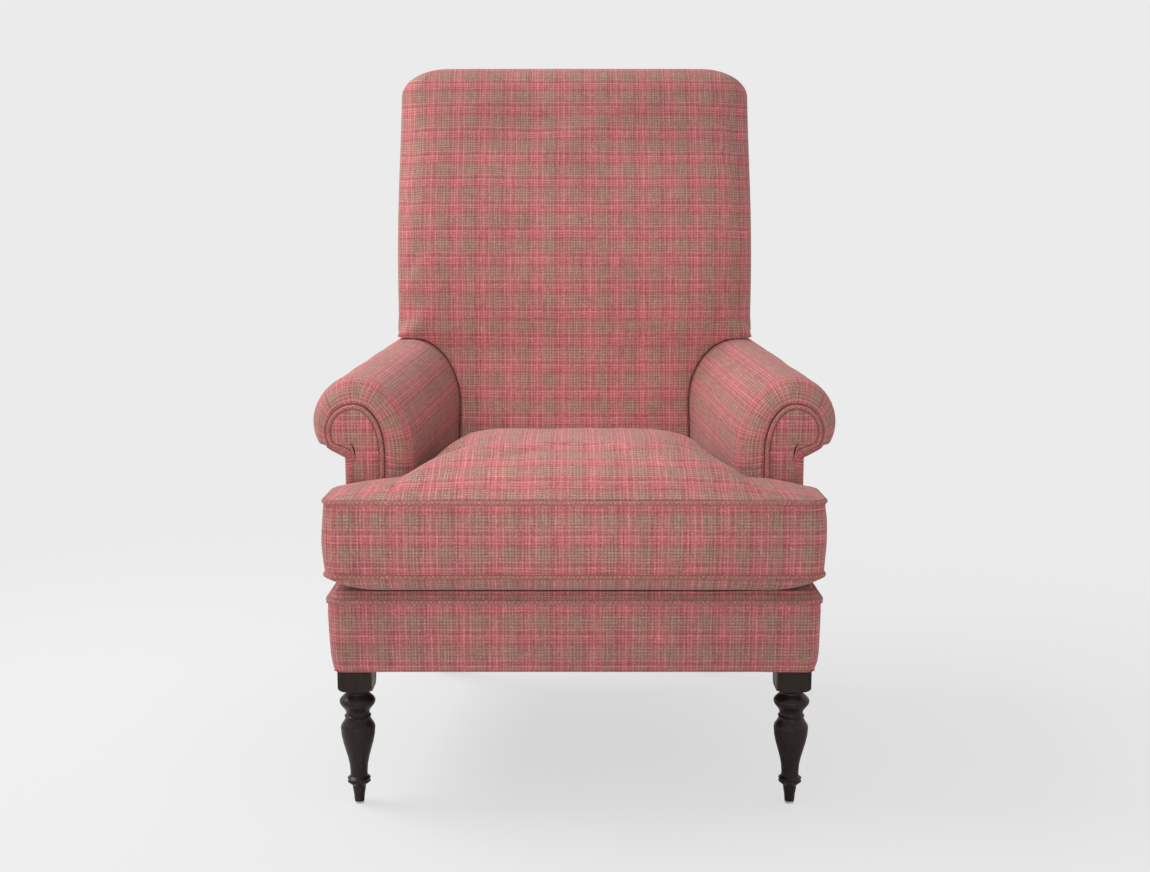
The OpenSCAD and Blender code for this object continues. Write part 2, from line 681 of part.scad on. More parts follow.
// Webbing of the seat and of the back
seat_web_side_gap = 2.5;
seat_web_apart = (post_in_x - web_w / 2 - seat_web_side_gap) / 2;
seat_web_x = [for (k = [-2:2]) k * seat_web_apart];
seat_web_front = 200;
seat_web_space = 90;
seat_web_d = [for (k = [0:3]) seat_web_front + k * seat_web_space];
seat_web_z = rail_top_z + fit_gap + web_amp + web_t / 2;
module seat_webbing_long() {
    path = [for (d = seat_web_d) fy(d)];
    from = fy(front_rail_set + web_end);
    to = fy(rear_rail_rear - web_end);
    color(lining) for (j = [0:len(seat_web_x) - 1])
        translate([seat_web_x[j], 0, seat_web_z]) rotate([90, 0, 90])
            strip(weave(path, j % 2 == 0 ? 1 : -1, from, to), web_w);
}
module seat_webbing_cross() {
    color(lining) for (k = [0:len(seat_web_d) - 1]) {
        end = arm_plane_x(rail_in_x + rail_t / 2, seat_web_d[k]);
        translate([0, fy(seat_web_d[k]), seat_web_z]) rotate([90, 0, 0])
            strip(weave(seat_web_x, k % 2 == 0 ? -1 : 1, -end, end), web_w);
    }
}
back_web_side_gap = 62.5;
back_web_apart = post_in_x - web_w / 2 - back_web_side_gap;
back_web_x = [for (k = [-1:1]) k * back_web_apart];
back_web_low = 290;
back_web_space = 150;
back_web_z = [for (k = [0:3]) back_web_low + k * back_web_space];
back_web_y = -back_post_d - soft_gap / 2 - web_amp - web_t / 2;
module back_webbing_upright() {
    color(lining) for (j = [0:len(back_web_x) - 1])
        back_frame() translate([back_web_x[j], back_web_y, 0]) rotate([0, -90, 0])
            strip(weave(back_web_z, j % 2 == 0 ? 1 : -1, tacking_z + web_end, head_rail_top - web_end),
                web_w);
}
module back_webbing_cross() {
    end = post_out_x - web_end;
    color(lining) for (k = [0:len(back_web_z) - 1]) back_frame() translate([0, back_web_y, back_web_z[k]])
        strip(weave(back_web_x, k % 2 == 0 ? -1 : 1, -end, end), web_w);
}

// Deck: the padded platform under the cushion, with an ear in front of each arm
deck_under = rail_top_z + 2 * web_amp + web_t + 3 * fit_gap;
border_h = 16;
border_z = deck_z - border_h;
deck_set = piping_d;
rail_cover_w = cushion_w;
rail_cover_front = 20;
rail_corner_r = 22;
deck_corner_r = 4;
deck_side_gap = 2;
function deck_outline() = let (ear = rail_cover_w / 2 - deck_set, rear = rear_rail_front - soft_gap,
    side = arm_in_x + arm_pad_t, side_d = arm_post_front - soft_gap) [
    [-ear, fy(rail_cover_front + deck_set), rail_corner_r - deck_set],
    [ear, fy(rail_cover_front + deck_set), rail_corner_r - deck_set], [ear, fy(side_d), deck_corner_r],
    [arm_plane_x(side, side_d), fy(side_d), deck_corner_r],
    [arm_plane_x(side, rear), fy(rear), deck_corner_r],
    [-arm_plane_x(side, rear), fy(rear), deck_corner_r],
    [-arm_plane_x(side, side_d), fy(side_d), deck_corner_r],
    [-ear, fy(side_d), deck_corner_r]];
module seat_deck() {
    under_x = side_in_x(rear_rail_front) - deck_side_gap;
    color(felt) difference() {
        union() {
            translate([0, 0, border_z]) linear_extrude(border_h)
                polygon(rounded(deck_outline(), corner_steps));
            box([-under_x, under_x], [fy(front_joint), fy(rear_rail_front - soft_gap)],
                [deck_under, border_z]);
        }
        back_frame() box([-chair_w, chair_w], [-back_post_d - web_room, chair_d], [-chair_h, chair_h]);
    }
}

// Front border: a padded cover round the front rail and its two ends
border_taper = 5.5;
border_hem = 2;
border_rear_r = 3;
border_steps_run = 90;
// Bulge of the border: [share of the taper, share of the border's height]
border_bulge_shares = [[1, 0.04], [0.375, 0.25], [0.125, 0.6], [-0.06, 0.85]];
rail_cover_lap = 0.5;
rail_cover_rear = arm_post_front + rail_cover_lap;
function border_corners(grow) = let (
    w = rail_cover_w / 2 + grow, front = fy(rail_cover_front - grow), rear = fy(rail_cover_rear))
    [[-w, front, rail_corner_r + grow], [w, front, rail_corner_r + grow],
        [w, rear, border_rear_r], [-w, rear, border_rear_r]];
function border_ring(grow, z) = let (path = rounded(border_corners(grow), corner_steps))
    [for (p = divided(path, rounded(border_corners(0), corner_steps), border_steps_run)) [p[0], p[1], z]];
module border_skin() {
    levels = [[-border_taper - border_hem, cover_z],
        each [for (s = border_bulge_shares) [-border_taper * s[0], lerp(cover_z, border_z, s[1])]],
        [0, border_z - groove_half], [-groove, border_z - soft_gap]];
    loft([for (l = levels) border_ring(l[0], l[1])],
        [0, fy(arm_front / 2), cover_z], [0, fy(arm_front / 2), border_z - soft_gap]);
}
module front_rail_cover() {
    inner_w = frame_w / 2 + soft_gap;
    web_room_w = frame_w / 2 - rail_t;
    color(plaid) difference() {
        border_skin();
        box([-inner_w, inner_w], [fy(front_rail_set - soft_gap), fy(front_joint + soft_gap)],
            [seat_frame_z - soft_gap, rail_top_z + soft_gap]);
        box([-inner_w, inner_w], [fy(front_joint), fy(2 * arm_front)], [cover_z - cut_over, deck_z]);
        for (s = [-1, 1]) translate([s * leg_x, fy(leg_y), cover_z])
            cube(leg_block_w + 2 * soft_gap, center = true);
        box([-web_room_w, web_room_w], [fy(front_rail_set + web_end - soft_gap), fy(front_joint + cut_over)],
            [rail_top_z, deck_under]);
    }
}
module front_rail_piping() {
    corners = border_corners(0);
    ring = rounded(corners, corner_steps);
    path = [[corners[3][0], corners[3][1], border_z - soft_gap],
        each [for (k = [0:2 * corner_steps + 1]) [ring[k][0], ring[k][1], border_z - soft_gap]],
        [corners[2][0], corners[2][1], border_z - soft_gap]];
    color(plaid_edge) tube(path, [0, 0, 1], piping_r);
}

// Inside back: a padded skin whose rings follow the lean of both faces; between
// the arms it is as wide as the room that they leave
back_edge_r = 42;
back_edge_low_r = 12;
back_rear_r = 16;
back_barrel = 10;
arm_clear = 0.8;
ledge_h = 0.4;
front_steps = 8;
edge_steps = 5;
rear_steps = 3;
lift_fade_h = 200;
roll_off_share = 0.42;
over_arm_z = arm_h + arm_clear + ledge_h;
// Rings are named by their height at the arm's front and rise with the arm
function ring_lift(z, d) = tan(arm_rise) * (d - arm_front) * rise_share(z)
    * clamp01(1 - (z - over_arm_z) / lift_fade_h);
function arm_limit(z, d) = let (
    up = (z - rise_from_z) / (shoulder_h + arm_clear), round = up <= 0 ? 1 : sqrt(max(0, 1 - up * up)))
    z >= over_arm_z ? back_w / 2
    : roll_x - (roll_x - arm_in_x + arm_clear) * round - tan(arm_yaw) * (d - arm_front);
function top_drop(z) = let (t = clamp01((z - back_edge_z) / back_corner_h)) 1 - sqrt(max(0, 1 - t * t));
function back_point(x, d, z) = [x, fy(d), z + ring_lift(z, d)];
function back_ring(z) = let (
    drop = top_drop(z), slim = 1 - 2 * roll_off_share * drop, barrel = slim * back_barrel,
    edge = slim * lerp(back_edge_low_r, back_edge_r, clamp01((z - arm_h) / back_edge_r)),
    rear_r = slim * back_rear_r,
    at = z + ring_lift(z, inside_d(z)), roll = drop * back_top_t * roll_off_share,
    front = inside_d(at) + roll, rear = rear_d(min(at, back_edge_z)) - roll,
    half = [
        each [for (k = [0:front_steps / 2 - 1])
            [edge + (back_w / 2 - edge) * (1 - 2 * k / front_steps), front]],
        each [for (k = [0:edge_steps]) let (a = 90 * k / edge_steps)
            [edge * (1 - sin(a)), front + barrel + edge * (1 - cos(a))]],
        each [for (k = [0:rear_steps]) let (a = 90 * k / rear_steps)
            [rear_r * (1 - cos(a)), rear - rear_r * (1 - sin(a))]]],
    points = [for (p = half)
        let (w = arm_limit(z, p[1]) - back_corner_w * drop, x = w - p[0] * w / (back_w / 2))
        [x, p[1] + (p[0] > edge ? barrel * pow(x / w, 2) : 0)]])
    [each [for (k = [len(points) - 1:-1:1]) back_point(-points[k][0], points[k][1], z)],
        each [for (p = points) back_point(p[0], p[1], z)]];
back_low_share = 0.5;
back_mid_shares = [0.1, 0.3, 0.5, 0.75];
back_top_shares = [0.0, 0.4, 0.72, 0.95];
module inside_back_skin() {
    levels = [arm_base_z, lerp(arm_base_z, rise_from_z, back_low_share),
        each [for (k = [0:shoulder_steps])
            rise_from_z + (shoulder_h + arm_clear) * sin(90 * k / shoulder_steps)],
        over_arm_z, each [for (t = back_mid_shares) lerp(over_arm_z, back_edge_z, t)],
        each [for (t = back_top_shares) back_edge_z + t * back_corner_h]];
    loft([for (z = levels) back_ring(z)], [0, fy(inside_d(arm_base_z) + back_seat_t / 2), arm_base_z],
        [0, fy(inside_d(back_head_z) + back_top_t / 2), chair_h]);
}
foam_gap = 0.5;
foam_front = back_post_d + web_room + back_foam_t;
foam_bottom = 140;
foam_top_gap = 24;
foam_top = back_post_l - foam_top_gap;
foam_side_in = 50;
foam_half_w = post_in_x - foam_side_in;
module inside_back_cover() {
    color(plaid) difference() {
        inside_back_skin();
        back_zone();
        back_frame() box([-foam_half_w - foam_gap, foam_half_w + foam_gap], [-foam_front - foam_gap, 0],
            [foam_bottom - foam_gap, foam_top + foam_gap]);
    }
}
module back_foam() {
    color(foam) back_frame()
        box([-foam_half_w, foam_half_w], [-foam_front, -back_post_d - web_room], [foam_bottom, foam_top]);
}
panel_lap = 0.6;
panel_hem = 1;
module outside_back_panel() {
    w = post_out_x + panel_lap;
    color(plaid) back_frame() box([-w, w], [0, back_panel_t], [panel_hem, back_panel_l]);
}

// Dust cover under the seat, stapled to the rails
dust_t = 1;
dust_inset = 12;
dust_front_gap = 6;
module dust_cover() {
    front = front_joint + dust_front_gap;
    rear = rear_rail_rear - dust_inset;
    wf = arm_plane_x(rail_out_x, front) - dust_inset;
    wr = post_in_x - dust_inset / 2;
    color(cambric) difference() {
        translate([0, 0, seat_frame_z - dust_t]) linear_extrude(dust_t)
            polygon([[-wf, fy(front)], [wf, fy(front)], [wr, fy(rear)], [-wr, fy(rear)]]);
        for (s = [-1, 1]) translate([s * leg_x, fy(leg_y), seat_frame_z])
            cube(leg_block_w + 2 * soft_gap, center = true);
    }
}
staple_w = 10;
staple_t = 0.8;
staple_pitch = 60;
staple_corner_in = 48;
staple_rear_pitch = (post_in_x - staple_corner_in) / 3;
staple_rear_in = 8;
staple_side_in = 6;
module dust_cover_staples() {
    z = seat_frame_z - dust_t - staple_t / 2;
    side_mid = (front_joint + rear_rail_front) / 2 - arm_front;
    color(steel) for (k = [-3:3]) {
        translate([k * staple_rear_pitch, fy(rear_rail_rear - dust_inset - staple_rear_in), z])
            cube([staple_w, staple_t, staple_t], center = true);
        for (s = [-1, 1]) mirrored(s) arm_frame(z)
            translate([rail_in_x + staple_side_in, side_mid + k * staple_pitch, 0])
                cube([staple_t, staple_w, staple_t], center = true);
    }
}

// Seat cushion: a T-shaped outline, drawn in at both pipings, with a crown that
// rises quickly behind the edge and then runs nearly level
cushion_set = piping_r;
side_gap = 1.2;
rear_gap = 1.5;
cushion_rear = inside_d(lower_piping_z) - piping_r - rear_gap;
neck_d = ear_d - piping_r;
function body_x(d) = arm_plane_x(arm_in_x, d) - piping_r - side_gap;
ear_front_r = 22;
ear_rear_r = 16;
neck_r = 8;
cushion_rear_r = 24;
function cushion_corners(grow) = let (
    ear = cushion_w / 2 + grow, neck = body_x(neck_d) + grow, tail = body_x(cushion_rear) + grow,
    front = cushion_set - grow, back = neck_d + grow, rear = cushion_rear + grow) [
    [-ear, front, ear_front_r + grow], [ear, front, ear_front_r + grow], [ear, back, ear_rear_r + grow],
    [neck, back, neck_r - grow], [tail, rear, cushion_rear_r + grow], [-tail, rear, cushion_rear_r + grow],
    [-neck, back, neck_r - grow], [-ear, back, ear_rear_r + grow]];
cushion_run = 78;
function cushion_outline(grow) = let (like = rounded(cushion_corners(0), corner_steps))
    divided(rounded(cushion_corners(grow), corner_steps), like, cushion_run);
// Crown: 0 at the edge and 1 where it is full; the ears rise to a lower level
heart_share = 0.9;
heart_d = ear_d * heart_share;
front_rise_d = 220;
side_rise_d = 130;
rear_rise_d = 200;
ear_crown_share = 0.24;
neck_reach_share = 0.25;
function edge_rise(t, steep = 4.3) = 1 - pow(1 - clamp01(t), steep);
function ear_crown(x, d) = edge_rise(2 * d / front_rise_d)
    * edge_rise((cushion_w / 2 - abs(x)) / side_rise_d, 2)
    * (d > neck_d ? 1 : edge_rise(2.5 * (1.04 - d / neck_d)));
function crown_reach(d) = d > neck_d ? body_x(d)
    : body_x(neck_d) + (cushion_w / 2 - body_x(neck_d)) * neck_reach_share * clamp01(1 - d / neck_d);
function crown(x, d) = let (
    ear = ear_crown(x, d), inside = crown_reach(d) - abs(x),
    main = edge_rise((d - cushion_set) / front_rise_d) * edge_rise((cushion_rear - d) / rear_rise_d)
        * edge_rise(inside / side_rise_d, 3),
    low = inside > 0 ? lerp(ear, 1, clamp01(inside / side_rise_d)) * min(1, ear + main) : ear)
    ear_crown_share * low + (1 - ear_crown_share) * main;
function cushion_ring(share, out, z, rise) = [for (p = cushion_outline(out))
    let (x = p[0] * share, d = lerp(heart_d, p[1], share)) [x, fy(d), z + rise * crown(x, d)]];
function belly_ring(share, full, z, drop) = [for (p = cushion_outline(0))
    [p[0] * share, fy(lerp(heart_d, p[1], share)), z - drop * full]];
crown_shares = [0.975, 0.94, 0.88, 0.78, 0.64, 0.46, 0.24];
// Underside: [share of the outline, share of the drop]; it is full close behind the edge
belly_shares = [[0.5, 1], [0.8, 1], [0.87, 0.9], [0.93, 0.62], [0.97, 0.3]];
boxing_bulge = 3;
groove_lip = 1;
module cushion_skin() {
    mid_z = (lower_piping_z + upper_piping_z) / 2;
    under_z = lower_piping_z - groove_half;
    over_z = upper_piping_z + groove_half;
    under_drop_h = belly_h - groove_half;
    over_rise = crown_h - groove_half;
    sides = [[-groove_lip, under_z], [-groove, lower_piping_z], [0, lower_piping_z + groove_half],
        [boxing_bulge, mid_z], [0, upper_piping_z - groove_half], [-groove, upper_piping_z],
        [-groove_lip, over_z]];
    heart_crown = crown(0, heart_d);
    loft([each [for (s = belly_shares) belly_ring(s[0], s[1], under_z, under_drop_h)],
        each [for (s = sides) cushion_ring(1, s[0], s[1], 0)],
        each [for (s = crown_shares) cushion_ring(s, 0, over_z, over_rise)]],
        [0, fy(heart_d), under_z - under_drop_h],
        [0, fy(heart_d), over_z + over_rise * heart_crown]);
}
core_inset = 14;
core_gap = 2;
module core_outline(grow = 0) {
    in = core_inset - grow;
    front = cushion_set + in;
    rear = cushion_rear - in - zip_depth;
    half = [[cushion_w / 2 - in, fy(front)], [cushion_w / 2 - in, fy(neck_d - in)],
        [body_x(neck_d) - in, fy(neck_d - in)], [body_x(rear) - in, fy(rear)]];
    polygon([each half, each [for (k = [len(half) - 1:-1:0]) [-half[k][0], half[k][1]]]]);
}
module cushion_cover() {
    color(plaid) difference() {
        cushion_skin();
        translate([0, 0, lower_piping_z + core_gap])
            linear_extrude(boxing_h - 2 * core_gap) core_outline(soft_gap);
        zip_recess();
    }
}
module cushion_core() {
    gap = core_gap + soft_gap;
    color(foam) translate([0, 0, lower_piping_z + gap]) linear_extrude(boxing_h - 2 * gap) core_outline();
}
module cushion_piping(z) {
    path = [for (p = rounded(cushion_corners(0), corner_steps)) [p[0], fy(p[1]), z]];
    color(plaid_edge) tube(path, [0, 0, 1], piping_r, closed = true);
}
module cushion_piping_top() { cushion_piping(upper_piping_z); }
module cushion_piping_bottom() { cushion_piping(lower_piping_z); }

// Zip in the rear boxing: tape, chain and a handleless slider
zip_side_in = 32;
zip_l = 2 * (body_x(cushion_rear) - zip_side_in);
zip_tape_h = 32;
zip_tape_t = 1.2;
zip_chain_h = 6;
zip_chain_t = 1.6;
zip_depth = 5;
zip_chain_in = 2;
slider_park = 4;
zip_z = (lower_piping_z + upper_piping_z) / 2;
slider_l = 13;
slider_h = 11;
slider_out = 2.6;
module zip_recess() {
    box([-zip_l / 2 - soft_gap, zip_l / 2 + soft_gap],
        [fy(cushion_rear - zip_depth + boxing_bulge), fy(cushion_rear + zip_depth)],
        [zip_z - zip_tape_h / 2 - soft_gap, zip_z + zip_tape_h / 2 + soft_gap]);
}
zip_floor = cushion_rear - zip_depth + boxing_bulge + soft_gap;
module zip_tape() {
    color("#6d4a47") box([-zip_l / 2, zip_l / 2], [fy(zip_floor), fy(zip_floor + zip_tape_t)],
        [zip_z - zip_tape_h / 2, zip_z + zip_tape_h / 2]);
}
module zip_chain() {
    end = zip_l / 2 - zip_chain_in;
    color("#55413f") box([-end, end], [fy(zip_floor + zip_tape_t), fy(zip_floor + zip_tape_t + zip_chain_t)],
        [zip_z - zip_chain_h / 2, zip_z + zip_chain_h / 2]);
}
module zip_slider() {
    back = zip_floor + zip_tape_t;
    start = slider_park - zip_l / 2;
    color(steel) difference() {
        box([start, start + slider_l], [fy(back + fit_gap), fy(back + zip_chain_t + slider_out)],
            [zip_z - slider_h / 2, zip_z + slider_h / 2]);
        box([start - cut_over, start + slider_l + cut_over],
            [fy(back) - cut_over, fy(back + zip_chain_t + fit_gap)],
            [zip_z - zip_chain_h / 2 - fit_gap, zip_z + zip_chain_h / 2 + fit_gap]);
    }
}

front_seat_rail();
rear_seat_rail();
mirrored(-1) side_seat_rail();  // side_seat_rail_left
mirrored(1) side_seat_rail();  // side_seat_rail_right
corner_blocks();
corner_block_screws();
mirrored(-1) front_leg();  // front_leg_left
mirrored(1) front_leg();  // front_leg_right
mirrored(-1) rear_leg();  // rear_leg_left
mirrored(1) rear_leg();  // rear_leg_right
leg_bolts();
leg_insert_nuts();
leg_glides();
mirrored(-1) arm_post();  // arm_post_left
mirrored(1) arm_post();  // arm_post_right
mirrored(-1) arm_top_rail();  // arm_top_rail_left
mirrored(1) arm_top_rail();  // arm_top_rail_right
mirrored(-1) arm_tacking_rail();  // arm_tacking_rail_left
mirrored(1) arm_tacking_rail();  // arm_tacking_rail_right
mirrored(-1) arm_lining();  // arm_lining_left
mirrored(1) arm_lining();  // arm_lining_right
mirrored(-1) back_post();  // back_post_left
mirrored(1) back_post();  // back_post_right
back_top_rail();
back_tacking_rail();
frame_dowels();
seat_webbing_long();
seat_webbing_cross();
back_webbing_upright();
back_webbing_cross();
seat_deck();
front_rail_cover();
front_rail_piping();
mirrored(-1) arm_cover();  // arm_cover_left
mirrored(1) arm_cover();  // arm_cover_right
mirrored(-1) arm_facing();  // arm_facing_left
mirrored(1) arm_facing();  // arm_facing_right
mirrored(-1) arm_facing_piping();  // arm_facing_piping_left
mirrored(1) arm_facing_piping();  // arm_facing_piping_right
mirrored(-1) outside_arm_panel();  // outside_arm_panel_left
mirrored(1) outside_arm_panel();  // outside_arm_panel_right
back_foam();
inside_back_cover();
outside_back_panel();
dust_cover();
dust_cover_staples();
cushion_cover();
cushion_core();
cushion_piping_top();
cushion_piping_bottom();
zip_tape();
zip_chain();
zip_slider();
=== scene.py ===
"""Looks of the fireside chair: upholstery, wood, metal, webbing, floor, lights and camera."""

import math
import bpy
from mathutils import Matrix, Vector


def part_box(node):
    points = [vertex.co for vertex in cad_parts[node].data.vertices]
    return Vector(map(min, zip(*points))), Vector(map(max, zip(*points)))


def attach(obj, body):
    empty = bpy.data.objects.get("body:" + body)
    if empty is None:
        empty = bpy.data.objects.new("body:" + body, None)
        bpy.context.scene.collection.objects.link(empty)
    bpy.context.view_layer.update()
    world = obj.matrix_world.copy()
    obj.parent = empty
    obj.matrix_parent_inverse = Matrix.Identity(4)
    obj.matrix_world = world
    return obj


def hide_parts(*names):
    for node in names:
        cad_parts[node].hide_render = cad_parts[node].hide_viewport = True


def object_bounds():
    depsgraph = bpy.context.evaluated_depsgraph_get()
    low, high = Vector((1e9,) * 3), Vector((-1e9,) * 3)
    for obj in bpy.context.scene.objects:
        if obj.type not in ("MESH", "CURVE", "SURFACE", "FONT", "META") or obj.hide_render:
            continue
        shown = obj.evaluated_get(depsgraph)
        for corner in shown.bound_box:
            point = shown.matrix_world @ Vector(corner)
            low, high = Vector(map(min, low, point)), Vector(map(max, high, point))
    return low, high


bl_info = {
    "name": "Fireside Chair",
    "version": (1, 0, 0),
    "blender": (4, 5, 0),
    "location": "View3D > Sidebar > Chair",
    "description": "Dresses the fireside chair's frame in plaid cloth, piping, wood and metal",
    "category": "Add Mesh",
}

import bmesh
import bpy
import numpy as np
from mathutils import Vector, noise

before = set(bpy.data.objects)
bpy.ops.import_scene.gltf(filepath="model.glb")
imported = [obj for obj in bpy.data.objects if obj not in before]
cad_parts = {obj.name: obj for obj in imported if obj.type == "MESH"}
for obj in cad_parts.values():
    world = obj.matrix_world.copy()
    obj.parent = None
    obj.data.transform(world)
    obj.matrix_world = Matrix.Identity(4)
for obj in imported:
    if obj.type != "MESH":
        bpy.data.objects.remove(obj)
CAD_BOX = [list(corner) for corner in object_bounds()]
MM = 0.001
SIDES = {-1: "left", 1: "right"}


def TAN(degrees):
    return math.tan(math.radians(degrees))


def COS(degrees):
    return math.cos(math.radians(degrees))


def SIN(degrees):
    return math.sin(math.radians(degrees))


# Sizes in millimetres, with depth d counted from the chair's front plane
CHAIR_W, CHAIR_D, CHAIR_H = 762.0, (CAD_BOX[1][1] - CAD_BOX[0][1]) / MM, CAD_BOX[1][2] / MM
SEAT_FRAME_Z, RAIL_TOP, DECK_Z, COVER_Z = 206.0, 286.0, 320.0, 201.0
LOW_PIPING_Z, TOP_PIPING_Z = 343.0, 446.0
PIPING_R = 3.3
SEAM_R = PIPING_R + 0.25
ARM_YAW, ARM_RISE, ARM_FRONT, ARM_H, ROLL_R = 5.6, 4.2, 130.0, 602.0, 64.0
SHOULDER_H, PIVOT_X, ARM_IN_X, ARM_BASE = 112.0, 309.0, 237.0, 320.3
BORDER_D, FACING_T, FACING_R = 38.0, 5.5, 37.0
RISE_FROM, TUCK_Z = ARM_H - SHOULDER_H, 496.0
ROLL_X = CHAIR_W / 2 - ROLL_R + TAN(ARM_YAW) * BORDER_D
RAIL_OUT_X = 332 - TAN(ARM_YAW) * (ARM_FRONT - 36)
PANEL_OUT_X = RAIL_OUT_X + 8.8
STEM_X = PANEL_OUT_X - 8.9
FACING_X, FACING_TOP, FACING_STEM = ROLL_X - 2.7, 563.5, PANEL_OUT_X - 6
BACK_W, BACK_LEAN, BACK_PANEL_T = 608.0, 7.5, 4.0
BACK_LOW_T, BACK_TOP_T, LUMBAR = 162.0, 124.0, 43.0
BACK_CORNER_W, BACK_CORNER_H = 82.0, 50.0
BACK_EDGE_Z = CHAIR_H - BACK_CORNER_H
CUSHION_W, EAR_D, CROWN_H, BELLY_H = 691.0, 121.0, 67.0, 22.7
WEB_T, WEB_W, DECK_LIP_D = 2.0, 50.0, 141.0

# How the cords and the swelling covers are made
CORD_STEP, CORD_SIDES, BIAS = 0.0055, 12, 0.7071
SWELL_FRAMES, SWELL_STIFFNESS = 20, 15.0

# The camera, in pixels of the picture, in metres and in degrees
PICTURE_W, FOCAL, SHIFT, SENSOR_MM = 1150, 1450, 0.5, 36.0
CAMERA_GAP, CAMERA_Z, CAMERA_TILT = 1.941, 0.8085, 7.9


def arm_plane_x(x, d):
    return PIVOT_X + (x - PIVOT_X) / COS(ARM_YAW) - TAN(ARM_YAW) * (d - ARM_FRONT)


def rear_d(z):
    return CHAIR_D - TAN(BACK_LEAN) * (BACK_EDGE_Z - z)


def back_t(z):
    """Thickness of the back at a height: a straight taper and the swell in its middle."""
    lumbar = LUMBAR * np.cos(np.clip((z - 800) / 270, -1, 1) * math.pi / 2) ** 2
    return lumbar + BACK_LOW_T + (BACK_TOP_T - BACK_LOW_T) * np.clip((z - 450) / (CHAIR_H - 28 - 450), 0, 1)


def inside_d(z):
    return rear_d(z) - back_t(z)


def body_x(d):
    """Half the width of the cushion between the arms."""
    return arm_plane_x(ARM_IN_X, d) - PIPING_R - 1.2


CUSHION_REAR = inside_d(LOW_PIPING_Z) - PIPING_R - 1.5
POST_OUT_X = arm_plane_x(RAIL_OUT_X, rear_d(TUCK_Z)) - 4
ZIP_L, ZIP_TAPE_H, ZIP_Z = 2 * (body_x(CUSHION_REAR) - 32), 32.0, (LOW_PIPING_Z + TOP_PIPING_Z) / 2


def place(x, d, z):
    """Points in metres in the chair's frame, from millimetres and depth."""
    x, d, z = np.broadcast_arrays(np.asarray(x, float), np.asarray(d, float), np.asarray(z, float))
    return np.stack([x, d - CHAIR_D / 2, z], -1) * MM


def back_place(x, y, z):
    """Points of the leaning back: y is zero on the inner face of the outside panel."""
    x, y, z = np.broadcast_arrays(np.asarray(x, float), np.asarray(y, float), np.asarray(z, float))
    c, s = COS(BACK_LEAN), SIN(BACK_LEAN)
    d0 = rear_d(SEAT_FRAME_Z) - BACK_PANEL_T / c
    return place(x, d0 + y * c + z * s, SEAT_FRAME_Z - y * s + z * c)


def arm_place(x, y, z, side=1):
    """Points in the turned frame of one arm."""
    x, y, z = np.broadcast_arrays(np.asarray(x, float), np.asarray(y, float), np.asarray(z, float))
    c, s = COS(ARM_YAW), SIN(ARM_YAW)
    return place(side * (PIVOT_X + (x - PIVOT_X) * c - y * s), ARM_FRONT + (x - PIVOT_X) * s + y * c, z)


def ripple(points, size, depth, seed=0.0):
    """Slow rise and fall of stuffed cloth, in metres, the same on each run."""
    shift = Vector((seed, seed * 1.7, seed * 0.3))
    waves = [noise.noise(Vector(p) / size + shift) for p in points.reshape(-1, 3)]
    return np.array(waves).reshape(points.shape[:-1]) * depth


# Meshes

def points_of(mesh):
    return np.array([v.co for v in mesh.vertices])


def normals_of(mesh):
    return np.array([v.normal for v in mesh.vertices])


def move(obj, points):
    obj.data.vertices.foreach_set("co", points.ravel())


def smooth(mesh):
    mesh.polygons.foreach_set("use_smooth", [True] * len(mesh.polygons))


def link(obj):
    bpy.context.scene.collection.objects.link(obj)
    return obj


def mesh_object(name, points, faces, uvs=None, keep=None):
    """A mesh from points and faces whose faces are turned outwards before any are left out."""
    mesh = bpy.data.meshes.new(name)
    mesh.from_pydata([tuple(p) for p in points], [], faces)
    if uvs is not None:
        layer = mesh.uv_layers.new(name="cloth")
        layer.data.foreach_set("uv", np.asarray(uvs, float).ravel())
    bm = bmesh.new()
    bm.from_mesh(mesh)
    bm.faces.ensure_lookup_table()
    doomed = [bm.faces[i] for i in range(len(faces)) if keep is not None and not keep[i]]
    bmesh.ops.recalc_face_normals(bm, faces=bm.faces)
    if bm.calc_volume(signed=True) < 0:
        bmesh.ops.reverse_faces(bm, faces=bm.faces)
    if doomed:
        bmesh.ops.delete(bm, geom=doomed, context="FACES")
    bmesh.ops.remove_doubles(bm, verts=bm.verts, dist=1e-6)
    bm.to_mesh(mesh)
    bm.free()
    smooth(mesh)
    return link(bpy.data.objects.new(name, mesh))


def bake(obj):
    """Applies an object's modifiers to its mesh."""
    deps = bpy.context.evaluated_depsgraph_get()
    mesh = bpy.data.meshes.new_from_object(obj.evaluated_get(deps), depsgraph=deps)
    old, obj.data = obj.data, mesh
    obj.modifiers.clear()
    mesh.name = obj.name
    bpy.data.meshes.remove(old)
    return obj


def thicken(obj, thickness):
    wall = obj.modifiers.new("wall", "SOLIDIFY")
    wall.thickness, wall.offset = thickness * MM, -1
    return bake(obj)


